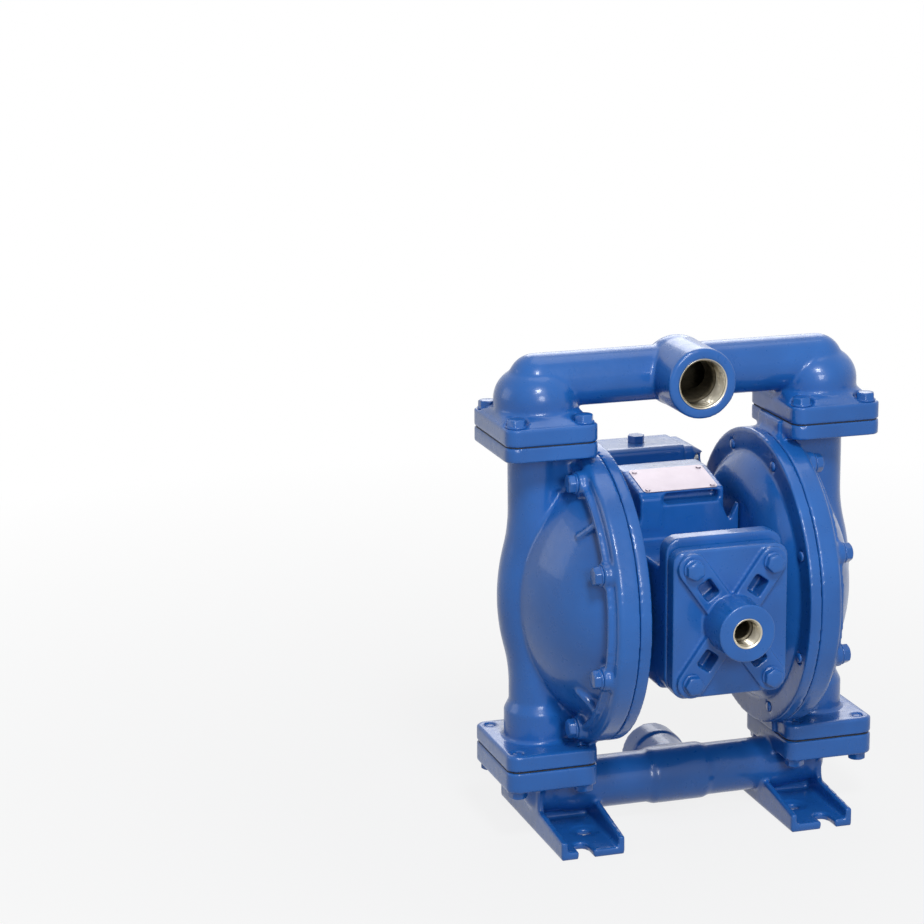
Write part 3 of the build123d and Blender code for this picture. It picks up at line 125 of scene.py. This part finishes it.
# the floor fades to the white of the room between these distances from the
# pump's middle, in metres
fade_from = 0.35
fade_to = 1.6
white_near_pump = 0.84
place = add(tree, "ShaderNodeTexCoord").outputs["Object"]
away = add(tree, "ShaderNodeVectorMath", {0: place}, operation="LENGTH")
fade = add(
    tree,
    "ShaderNodeMapRange",
    {
        "Value": away.outputs["Value"],
        "From Min": fade_from,
        "From Max": fade_to,
        "To Min": white_near_pump,
        "To Max": 1.0,
    },
)
lift = add(tree, "ShaderNodeMath", {0: seen, 1: fade.outputs[0]}, operation="MULTIPLY")
matte = add(tree, "ShaderNodeBsdfDiffuse", {"Color": linear("#B2B4B8")})
glow = add(tree, "ShaderNodeEmission", {"Color": linear("#FFFFFF"), "Strength": 1.0})
both = add(tree, "ShaderNodeMixShader", {0: lift.outputs[0], 1: matte.outputs[0], 2: glow.outputs[0]})
add(tree, "ShaderNodeOutputMaterial", {"Surface": both.outputs[0]})
floor_mesh.materials.append(floor_paint)

# each lamp's place in metres, its width in metres and its power in watts; all
# look at the middle of the pump, and the two small ones give the bright streaks
lamp_aim = Vector((0, 0, 0.25))
lamps = {
    "key_lamp": ((-0.35, -1.98, 2.48), 0.6, 43.0),
    "front_lamp": ((-0.15, -2.77, 1.37), 0.8, 28.0),
    "top_lamp": ((0.3, 0.4, 2.7), 1.4, 9.0),
    "back_lamp": ((0.9, 2.5, 1.8), 1.6, 22.0),
    "side_lamp": ((-2.7, 0.9, 1.2), 1.4, 10.0),
}
for lamp_name, (place, size, watts) in lamps.items():
    lamp_data = bpy.data.lights.new(lamp_name, "AREA")
    lamp_data.size = size
    lamp_data.energy = watts
    lamp = bpy.data.objects.new(lamp_name, lamp_data)
    lamp.location = place
    lamp.rotation_euler = (lamp_aim - Vector(place)).to_track_quat("-Z", "Y").to_euler()
    scene.collection.objects.link(lamp)

# Lower manifold and feet
# Sand-cast grey iron in one piece: the cross pipe with the rear port, two
# elbows with square flanges, and the channel feet. The cast edges are round,
# and a thick blue enamel was sprayed over all of it after assembly.

body_name = "pump_body"


def blue_enamel_material():
    """Air-dried blue enamel on sand-cast iron: glossy and slightly wavy."""
    paint = bpy.data.materials.new("blue_enamel")
    tree = fresh_tree(paint)
    place = add(tree, "ShaderNodeTexCoord").outputs["Object"]
    # broad drift of tone, about 70 mm; sand-mould waviness, 9 mm; orange peel, 1.6 mm
    drift = add(tree, "ShaderNodeTexNoise", {"Vector": place, "Scale": 14.0, "Detail": 3.0})
    waves = add(tree, "ShaderNodeTexNoise", {"Vector": place, "Scale": 110.0, "Detail": 2.0})
    peel = add(tree, "ShaderNodeTexNoise", {"Vector": place, "Scale": 620.0, "Detail": 1.0})
    tone = add(tree, "ShaderNodeValToRGB", {"Fac": drift.outputs["Fac"]})
    tone.color_ramp.elements[0].position = 0.3
    tone.color_ramp.elements[0].color = linear("#19569F")
    tone.color_ramp.elements[1].position = 0.7
    tone.color_ramp.elements[1].color = linear("#1F64B4")
    rough = add(
        tree,
        "ShaderNodeMapRange",
        {"Value": waves.outputs["Fac"], "From Min": 0.3, "From Max": 0.7, "To Min": 0.26, "To Max": 0.36},
    )
    wavy = add(
        tree,
        "ShaderNodeBump",
        {"Height": waves.outputs["Fac"], "Strength": 0.35, "Distance": 0.0006},
    )
    fine = add(
        tree,
        "ShaderNodeBump",
        {"Height": peel.outputs["Fac"], "Normal": wavy.outputs[0], "Strength": 0.25, "Distance": 0.0001},
    )
    shader = add(
        tree,
        "ShaderNodeBsdfPrincipled",
        {
            "Base Color": tone.outputs[0],
            "Roughness": rough.outputs[0],
            "Normal": fine.outputs[0],
            "IOR": 1.4,
            "Coat Weight": 0.3,
            "Coat Roughness": 0.07,
        },
    )
    add(tree, "ShaderNodeOutputMaterial", {"Surface": shader.outputs[0]})
    return paint


def raw_cast_material():
    """Bare cast iron inside the ports: grey-brown and grainy, with an oily film."""
    metal = bpy.data.materials.new("raw_cast_iron")
    tree = fresh_tree(metal)
    place = add(tree, "ShaderNodeTexCoord").outputs["Object"]
    grain = add(tree, "ShaderNodeTexNoise", {"Vector": place, "Scale": 420.0, "Detail": 4.0})
    tone = add(tree, "ShaderNodeValToRGB", {"Fac": grain.outputs["Fac"]})
    tone.color_ramp.elements[0].color = linear("#3A362C")
    tone.color_ramp.elements[1].color = linear("#7A7260")
    lumps = add(
        tree,
        "ShaderNodeBump",
        {"Height": grain.outputs["Fac"], "Strength": 0.5, "Distance": 0.0003},
    )
    shader = add(
        tree,
        "ShaderNodeBsdfPrincipled",
        {"Base Color": tone.outputs[0], "Metallic": 0.7, "Roughness": 0.42, "Normal": lumps.outputs[0]},
    )
    add(tree, "ShaderNodeOutputMaterial", {"Surface": shader.outputs[0]})
    return metal


blue_enamel = blue_enamel_material()
raw_cast_iron = raw_cast_material()


def plain_copy(node):
    """A merged copy of a CAD node's mesh."""
    mesh = frame["nodes"][node].data.copy()
    shell = bmesh.new()
    shell.from_mesh(mesh)
    bmesh.ops.remove_doubles(shell, verts=shell.verts, dist=1e-6)
    shell.to_mesh(mesh)
    shell.free()
    return mesh


def settle(piece):
    """Turns a piece with live modifiers into a plain smooth mesh."""
    graph = bpy.context.evaluated_depsgraph_get()
    mesh = bpy.data.meshes.new_from_object(piece.evaluated_get(graph))
    piece.modifiers.clear()
    piece.data = mesh
    mesh.polygons.foreach_set("use_smooth", [True] * len(mesh.polygons))


def put(name, mesh, body, slot, *nodes):
    """Links a finished piece, puts it on its body and hides the CAD nodes it stands for; the slot is not
    used.
    """
    piece = bpy.data.objects.new(name, mesh)
    scene.collection.objects.link(piece)
    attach(piece, body)
    if nodes:
        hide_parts(*nodes)


def cast_skin(node, grain, passes):
    """A casting's mesh as the foundry gives it: same shape, with round edges and soft inside corners."""
    holder = bpy.data.objects.new(node + "_skin", plain_copy(node))
    scene.collection.objects.link(holder)
    skin = holder.modifiers.new("skin", "REMESH")
    skin.mode = "VOXEL"
    skin.voxel_size = grain
    soften = holder.modifiers.new("soften", "SMOOTH")
    soften.factor = 0.5
    soften.iterations = passes
    settle(holder)
    mesh = holder.data
    bpy.data.objects.remove(holder)
    mesh.materials.clear()
    mesh.materials.append(blue_enamel)
    mesh.materials.append(raw_cast_iron)
    return mesh


def bare_inside(mesh, axis_z, radius, mouth_side):
    """The inside of a port along Y, and of the cross pipe behind it, stays unpainted."""
    for face in mesh.polygons:
        x, y, z = face.center
        in_port = y * mouth_side > 0 and math.hypot(x, z - axis_z) < radius
        in_pipe = abs(x) < pipe_reach and math.hypot(y, z - axis_z) < pipe_bare_r
        if in_port or in_pipe:
            face.material_index = 1


# no paint within these radii: the port to just outside its thread, and the
# cross pipe to a little way into its wall, this far each way along the pipe
port_r = 0.02415
port_bare_r = port_r + 0.0008
pipe_bare_r = 0.0215
pipe_reach = 0.13
suction_z = 0.0419
suction_mesh = cast_skin("suction_manifold", grain=0.0018, passes=4)
bare_inside(suction_mesh, suction_z, port_bare_r, mouth_side=1)
put("suction_manifold_casting", suction_mesh, body_name, "blue_enamel", "suction_manifold")

# Pipe threads of the ports
# Taper pipe threads cut straight into the castings and left bare: bright, warm
# silver rings. They are drawn at their real pitch, 11.5 and 14 to the inch.

bare_thread = bpy.data.materials.new("machined_iron_thread")
tree = fresh_tree(bare_thread)
place = add(tree, "ShaderNodeTexCoord").outputs["Object"]
smear = add(tree, "ShaderNodeTexNoise", {"Vector": place, "Scale": 90.0, "Detail": 3.0})
tool = add(tree, "ShaderNodeTexNoise", {"Vector": place, "Scale": 1500.0, "Detail": 1.0})
tone = add(tree, "ShaderNodeValToRGB", {"Fac": smear.outputs["Fac"]})
tone.color_ramp.elements[0].color = linear("#A59C86")
tone.color_ramp.elements[1].color = linear("#E6E1D3")
marks = add(tree, "ShaderNodeBump", {"Height": tool.outputs["Fac"], "Strength": 0.3, "Distance": 0.00008})
shader = add(
    tree,
    "ShaderNodeBsdfPrincipled",
    {"Base Color": tone.outputs[0], "Metallic": 1.0, "Roughness": 0.3, "Normal": marks.outputs[0]},
)
add(tree, "ShaderNodeOutputMaterial", {"Surface": shader.outputs[0]})


def ring_surface(rings, segments, closed=False):
    """Quads between rings of points, each ring a list of points round an axis."""
    points = [p for ring in rings for p in ring]
    faces = []
    for k in range(len(rings) - (0 if closed else 1)):
        for i in range(segments):
            j = (i + 1) % segments
            a = k * segments
            b = ((k + 1) % len(rings)) * segments
            faces.append((a + i, a + j, b + j, b + i))
    return points, faces


def thread_mesh(name, wall_r, pitch, length, depth, mouth):
    """Threaded liner of a port that opens towards -Y, its mouth at y 0, as a closed tube."""
    segments = 72
    rows_per_turn = 5
    rows = int(length / (pitch / rows_per_turn))
    rings = []
    lip_r = wall_r + mouth
    hair = 0.0001
    outside = (
        (wall_r + 2 * hair, length),
        (wall_r + 2 * hair, mouth),
        (lip_r + hair, -hair),
        (lip_r - 3 * hair, -2 * hair),
    )
    for r, y in outside:
        rings.append([(r * math.cos(a), y, r * math.sin(a)) for a in angles(segments)])
    first_y = mouth * 0.6
    rows_to_full_depth = 4
    for k in range(rows + 1):
        y = first_y + k * (length - first_y) / rows
        ring = []
        for a in angles(segments):
            phase = (y / pitch + a / math.tau) % 1.0
            tooth = 1 - abs(2 * phase - 1)
            grow = min(1.0, k / rows_to_full_depth)
            r = wall_r - depth * tooth * grow
            ring.append((r * math.cos(a), y, r * math.sin(a)))
        rings.append(ring)
    points, faces = ring_surface(rings, segments, closed=True)
    mesh = bpy.data.meshes.new(name)
    mesh.from_pydata(points, [], faces)
    mesh.materials.append(bare_thread)
    point_outwards(mesh)
    mesh.polygons.foreach_set("use_smooth", [True] * len(mesh.polygons))
    return mesh


def angles(count):
    """Even angles round a circle."""
    return [math.tau * i / count for i in range(count)]


def point_outwards(mesh):
    """Merges doubles and turns all faces outwards."""
    shell = bmesh.new()
    shell.from_mesh(mesh)
    bmesh.ops.remove_doubles(shell, verts=shell.verts, dist=1e-7)
    bmesh.ops.recalc_face_normals(shell, faces=shell.faces)
    shell.to_mesh(mesh)
    shell.free()


def placed(mesh, matrix):
    """The mesh with its place applied."""
    mesh.transform(matrix)
    return mesh


inch = 0.0254
suction_mouth_y = 0.072
discharge_mouth_y = -0.0701
pipe_pitch = inch / 11.5
pipe_thread = thread_mesh("port_thread", port_r, pipe_pitch, length=0.0245, depth=0.0015, mouth=0.0012)
half_turn = Matrix.Rotation(math.pi, 4, "Z")
rear_thread = placed(pipe_thread.copy(), Matrix.Translation((0, suction_mouth_y, suction_z)) @ half_turn)
put("suction_port_thread", rear_thread, body_name, "ground_steel")
discharge_z = 0.4696
front_thread = placed(pipe_thread.copy(), Matrix.Translation((0, discharge_mouth_y, discharge_z)))
put("discharge_port_thread", front_thread, body_name, "ground_steel")

# Inner chambers and centre housing
# Dished castings that close the air side of each diaphragm, screwed to the
# block between them. The block carries the air chest, the rod and the ports.

inner_mesh = cast_skin("right_inner_chamber", grain=0.0019, passes=3)
put("right_inner_chamber_casting", inner_mesh, body_name, "blue_enamel", "right_inner_chamber")


def left_twin(mesh):
    """The mirror image of a right-hand mesh, faces outwards."""
    twin = mesh.copy()
    twin.transform(Matrix.Diagonal((-1, 1, 1, 1)))
    twin.flip_normals()
    return twin


put("left_inner_chamber_casting", left_twin(inner_mesh), body_name, "blue_enamel", "left_inner_chamber")
housing_mesh = cast_skin("centre_housing", grain=0.0018, passes=3)
put("centre_housing_casting", housing_mesh, body_name, "blue_enamel", "centre_housing")

# Outer chambers
# The wetted castings: dome over the diaphragm, upright duct bowed over the
# dome, bossed and lipped ring, and a square flange at each end.

outer_mesh = cast_skin("right_outer_chamber", grain=0.002, passes=3)
put("right_outer_chamber_casting", outer_mesh, body_name, "blue_enamel", "right_outer_chamber")
put("left_outer_chamber_casting", left_twin(outer_mesh), body_name, "blue_enamel", "left_outer_chamber")

# Upper manifold
# The discharge pipe: two ball-cage elbows on square flanges and the front port
# boss, one casting, painted outside and bare in the port.

discharge_mesh = cast_skin("discharge_manifold", grain=0.0018, passes=4)
bare_inside(discharge_mesh, discharge_z, port_bare_r, mouth_side=-1)
put("discharge_manifold_casting", discharge_mesh, body_name, "blue_enamel", "discharge_manifold")

# Air inlet cap
# The front cap of the air chest: a plate with four pocketed arms and the
# threaded air boss, painted, with bare threads.

cap_mesh = cast_skin("air_inlet_cap", grain=0.0012, passes=2)
inlet_r = 0.01335
inlet_bare_r = inlet_r + 0.0007
inlet_mouth_y = -0.1913
rod_z = 0.2484
bare_inside(cap_mesh, rod_z, inlet_bare_r, mouth_side=-1)
put("air_inlet_cap_casting", cap_mesh, body_name, "blue_enamel", "air_inlet_cap")
air_thread = thread_mesh("air_thread", inlet_r, inch / 14, length=0.018, depth=0.0012, mouth=0.0018)
air_thread = placed(air_thread, Matrix.Translation((0, inlet_mouth_y, rod_z)))
put("air_inlet_thread", air_thread, body_name, "ground_steel")

# Main air valve
# Bolted to the back of the housing: cast body, two end caps and a plug on top.

valve_mesh = cast_skin("main_valve_body", grain=0.0016, passes=4)
put("main_valve_casting", valve_mesh, body_name, "blue_enamel", "main_valve_body")
end_cap_mesh = cast_skin("right_valve_end_cap", grain=0.0013, passes=3)
put("right_valve_end_cap_casting", end_cap_mesh, body_name, "blue_enamel", "right_valve_end_cap")
put("left_valve_end_cap_casting", left_twin(end_cap_mesh), body_name, "blue_enamel", "left_valve_end_cap")

# Painted hexagon bolts
# Zinc-plated steel bolts with round washers, painted over with the castings.
# One bolt of each length is made, and a Geometry Nodes tree seats it in each hole.

bolt_shank_r = 0.005
bolt_flat = 0.017
bolt_head_h = 0.0066
washer_r = 0.0105
washer_h = 0.002


def bolt_mesh(name, shank_l):
    """Hexagon bolt with a chamfered head and a washer, its seat at the origin, shank down."""
    segments = 48
    half = bolt_flat / 2
    crown_r = half * 0.94
    pinch = 0.02
    shank_chamfer = 0.0008
    washer_round = 0.0004
    corner_start = 0.0006
    corner_slope = 0.58
    crown_rise = 0.0001

    def hexed(r_scale, z, drop):
        ring = []
        for a in angles(segments):
            away = (a + math.pi / 6) % (math.pi / 3) - math.pi / 6
            r = half / math.cos(away) * r_scale
            ring.append((r * math.cos(a), r * math.sin(a), z - drop * max(0.0, r - crown_r)))
        return ring

    def circle(r, z):
        return [(r * math.cos(a), r * math.sin(a), z) for a in angles(segments)]

    top = washer_h + bolt_head_h
    rings = [
        circle(bolt_shank_r * pinch, -shank_l),
        circle(bolt_shank_r - shank_chamfer, -shank_l),
        circle(bolt_shank_r, -shank_l + shank_chamfer),
        circle(bolt_shank_r, 0.0),
        circle(washer_r - 0.0003, 0.0),
        circle(washer_r, 0.0003),
        circle(washer_r, washer_h - washer_round),
        circle(washer_r - 0.0005, washer_h),
        hexed(1.02, washer_h, 0.0),
        hexed(1.0, washer_h + washer_round, 0.0),
        hexed(1.0, top - corner_start, corner_slope),
        hexed(0.965, top - 0.00015, 0.5),
        circle(crown_r, top),
        circle(crown_r * 0.5, top + crown_rise / 2),
        circle(crown_r * pinch, top + crown_rise),
    ]
    points, faces = ring_surface(rings, segments)
    last = (len(rings) - 1) * segments
    faces.append(tuple(reversed(range(segments))))
    faces.append(tuple(range(last, last + segments)))
    mesh = bpy.data.meshes.new(name)
    mesh.from_pydata(points, [], faces)
    point_outwards(mesh)
    return mesh


def screw_seating_tree():
    """Geometry Nodes: one screw on each point, aimed by the point's attribute, turned at random."""
    group = bpy.data.node_groups.new("screw_seating", "GeometryNodeTree")
    sockets = group.interface
    sockets.new_socket("Geometry", in_out="INPUT", socket_type="NodeSocketGeometry")
    sockets.new_socket("Screw", in_out="INPUT", socket_type="NodeSocketObject")
    sockets.new_socket("Largest turn", in_out="INPUT", socket_type="NodeSocketFloat")
    sockets.new_socket("Seed", in_out="INPUT", socket_type="NodeSocketInt")
    sockets.new_socket("Finish", in_out="INPUT", socket_type="NodeSocketMaterial")
    sockets.new_socket("Geometry", in_out="OUTPUT", socket_type="NodeSocketGeometry")
    given = add(group, "NodeGroupInput").outputs
    screw = add(group, "GeometryNodeObjectInfo", {"Object": given["Screw"]}, transform_space="ORIGINAL")
    aim = add(group, "GeometryNodeInputNamedAttribute", {"Name": "aim"}, data_type="FLOAT_VECTOR")
    aimed = add(group, "FunctionNodeEulerToRotation", {0: aim.outputs["Attribute"]})
    chance = add(
        group,
        "FunctionNodeRandomValue",
        {2: 0.0, 3: given["Largest turn"], "Seed": given["Seed"]},
        data_type="FLOAT",
    )
    twist = add(group, "ShaderNodeCombineXYZ", {"Z": chance.outputs[1]})
    twisted = add(group, "FunctionNodeEulerToRotation", {0: twist.outputs[0]})
    both = add(
        group,
        "FunctionNodeRotateRotation",
        {0: aimed.outputs[0], 1: twisted.outputs[0]},
        rotation_space="LOCAL",
    )
    spots = add(group, "GeometryNodeMeshToPoints", {"Mesh": given["Geometry"]})
    seated = add(
        group,
        "GeometryNodeInstanceOnPoints",
        {"Points": spots.outputs[0], "Instance": screw.outputs["Geometry"], "Rotation": both.outputs[0]},
    )
    real = add(group, "GeometryNodeRealizeInstances", {0: seated.outputs[0]})
    done = add(group, "GeometryNodeSetMaterial", {"Geometry": real.outputs[0], "Material": given["Finish"]})
    add(group, "NodeGroupOutput", {0: done.outputs[0]})
    return group


screw_seating = screw_seating_tree()
largest_turn = math.radians(60)


def seat_screws(name, screw_mesh, spots, seed, node):
    """Runs the seating tree on (place, aim) spots and puts the painted result as a plain piece."""
    screw = bpy.data.objects.new(name + "_screw", screw_mesh)
    scene.collection.objects.link(screw)
    holder_mesh = bpy.data.meshes.new(name)
    holder_mesh.from_pydata([place for place, aim in spots], [], [])
    aims = holder_mesh.attributes.new("aim", "FLOAT_VECTOR", "POINT")
    for k, (place, aim) in enumerate(spots):
        aims.data[k].vector = Vector(aim).to_track_quat("Z", "Y").to_euler()
    holder = bpy.data.objects.new(name + "_holder", holder_mesh)
    scene.collection.objects.link(holder)
    run = holder.modifiers.new("seating", "NODES")
    run.node_group = screw_seating
    ids = {s.name: s.identifier for s in screw_seating.interface.items_tree if s.in_out == "INPUT"}
    run[ids["Screw"]] = screw
    run[ids["Largest turn"]] = largest_turn
    run[ids["Seed"]] = seed
    run[ids["Finish"]] = blue_enamel
    settle(holder)
    mesh = holder.data
    bpy.data.objects.remove(holder)
    bpy.data.objects.remove(screw)
    put(name, mesh, body_name, "blue_enamel", node)


ring_circle_r = 0.1372
ring_seat_x = 0.127
bolts_a_ring = 8
ring_bolt = bolt_mesh("ring_bolt", shank_l=0.0455)
for side, name in ((1, "right"), (-1, "left")):
    spots = []
    for k in range(bolts_a_ring):
        a = math.tau * (k + 0.5) / bolts_a_ring
        place = (side * ring_seat_x, -ring_circle_r * math.cos(a), rod_z + ring_circle_r * math.sin(a))
        spots.append((place, (side, 0, 0)))
    seat_screws(name + "_ring_bolt_heads", ring_bolt, spots, seed=3, node=name + "_ring_bolts")

duct_x = 0.151
flange_bolt_x = 0.035
flange_bolt_y = 0.046
discharge_flange_top = 0.4346
suction_flange_under = 0.0609
flange_spots = [
    (side * duct_x + dx * flange_bolt_x, dy * flange_bolt_y)
    for side in (-1, 1)
    for dx in (-1, 1)
    for dy in (-1, 1)
]
flange_bolt = bolt_mesh("flange_bolt", shank_l=0.0326)
top_spots = [((x, y, discharge_flange_top), (0, 0, 1)) for x, y in flange_spots]
seat_screws("discharge_flange_bolt_heads", flange_bolt, top_spots, seed=5, node="discharge_flange_bolts")
long_bolt = bolt_mesh("long_bolt", shank_l=0.0379)
low_spots = [((x, y, suction_flange_under), (0, 0, -1)) for x, y in flange_spots]
seat_screws("suction_flange_bolt_heads", long_bolt, low_spots, seed=7, node="suction_flange_bolts")

cap_bolt_x = 0.0417
cap_bolt_z = 0.0582
cap_boss_y = -0.1545
cap_bolt = bolt_mesh("cap_bolt", shank_l=0.034)
cap_spots = [
    ((side * cap_bolt_x, cap_boss_y, rod_z + level * cap_bolt_z), (0, -1, 0))
    for side in (-1, 1)
    for level in (-1, 1)
]
seat_screws("air_cap_bolt_heads", cap_bolt, cap_spots, seed=9, node="air_cap_bolts")

# Carried-over nodes
# Inner and small pieces keep their CAD shape and get the finish of what they
# are made of.


def turned_metal(name, dark, light, roughness, scale):
    """Machined metal: fine tool marks and a slow change of tone."""
    metal = bpy.data.materials.new(name)
    tree = fresh_tree(metal)
    place = add(tree, "ShaderNodeTexCoord").outputs["Object"]
    slow = add(tree, "ShaderNodeTexNoise", {"Vector": place, "Scale": 60.0, "Detail": 3.0})
    fine = add(tree, "ShaderNodeTexNoise", {"Vector": place, "Scale": scale, "Detail": 2.0})
    tone = add(tree, "ShaderNodeValToRGB", {"Fac": slow.outputs["Fac"]})
    tone.color_ramp.elements[0].color = linear(dark)
    tone.color_ramp.elements[1].color = linear(light)
    marks = add(
        tree,
        "ShaderNodeBump",
        {"Height": fine.outputs["Fac"], "Strength": 0.25, "Distance": 0.00008},
    )
    shader = add(
        tree,
        "ShaderNodeBsdfPrincipled",
        {
            "Base Color": tone.outputs[0],
            "Metallic": 1.0,
            "Roughness": roughness,
            "Normal": marks.outputs[0],
        },
    )
    add(tree, "ShaderNodeOutputMaterial", {"Surface": shader.outputs[0]})
    return metal


def moulded(name, dark, light, roughness, scale):
    """Rubber, gasket sheet or turned plastic: fine grain and a slight change of tone."""
    stuff = bpy.data.materials.new(name)
    tree = fresh_tree(stuff)
    place = add(tree, "ShaderNodeTexCoord").outputs["Object"]
    fine = add(tree, "ShaderNodeTexNoise", {"Vector": place, "Scale": scale, "Detail": 3.0})
    tone = add(tree, "ShaderNodeValToRGB", {"Fac": fine.outputs["Fac"]})
    tone.color_ramp.elements[0].color = linear(dark)
    tone.color_ramp.elements[1].color = linear(light)
    grain = add(
        tree,
        "ShaderNodeBump",
        {"Height": fine.outputs["Fac"], "Strength": 0.3, "Distance": 0.0001},
    )
    shader = add(
        tree,
        "ShaderNodeBsdfPrincipled",
        {"Base Color": tone.outputs[0], "Roughness": roughness, "Normal": grain.outputs[0]},
    )
    add(tree, "ShaderNodeOutputMaterial", {"Surface": shader.outputs[0]})
    return stuff


finishes = {
    # air-dried enamel, sprayed over castings and bolts: glossy and slightly wavy
    "blue_enamel": blue_enamel,
    # rolled aluminium alloy of the nameplate and its pins: a soft pinkish silver, no sharp reflection
    "nameplate_alloy": turned_metal("nameplate_alloy", "#B2A9B1", "#C6BEC6", 0.5, 900.0),
    # ground steel of the rod, the plungers and the valve sleeve: bright, with a clear reflection
    "ground_steel": turned_metal("ground_steel", "#A9A9A6", "#C6C6C2", 0.22, 2200.0),
    # zinc-plated steel of the plates, nuts and inner screws: a duller grey
    "zinc_steel": turned_metal("zinc_plated_steel", "#9EA0A0", "#BFC1BE", 0.36, 700.0),
    # moulded nitrile rubber of the diaphragms, check balls and seals: matte black
    "black_rubber": moulded("black_nitrile_rubber", "#131314", "#232325", 0.6, 700.0),
    # pressed fibre sheet: a dry, bluish black that shows as the seam lines
    "gasket_sheet": moulded("black_gasket_sheet", "#17191F", "#262A33", 0.7, 900.0),
    # turned white acetal of the spools, pilot valve body and ball seats: smooth and slightly waxy
    "acetal": moulded("white_acetal", "#D6D3CA", "#E9E6DE", 0.35, 300.0),
    # turned bearing bronze of the bushes: warm brown-gold with fine tool marks
    "bronze": turned_metal("bearing_bronze", "#8A6430", "#B58A4C", 0.34, 1200.0),
}
for part in frame["record"]["subparts"]:
    node = frame["nodes"][part["node"]]
    node.data.materials.clear()
    node.data.materials.append(finishes[part["material_slot"]])
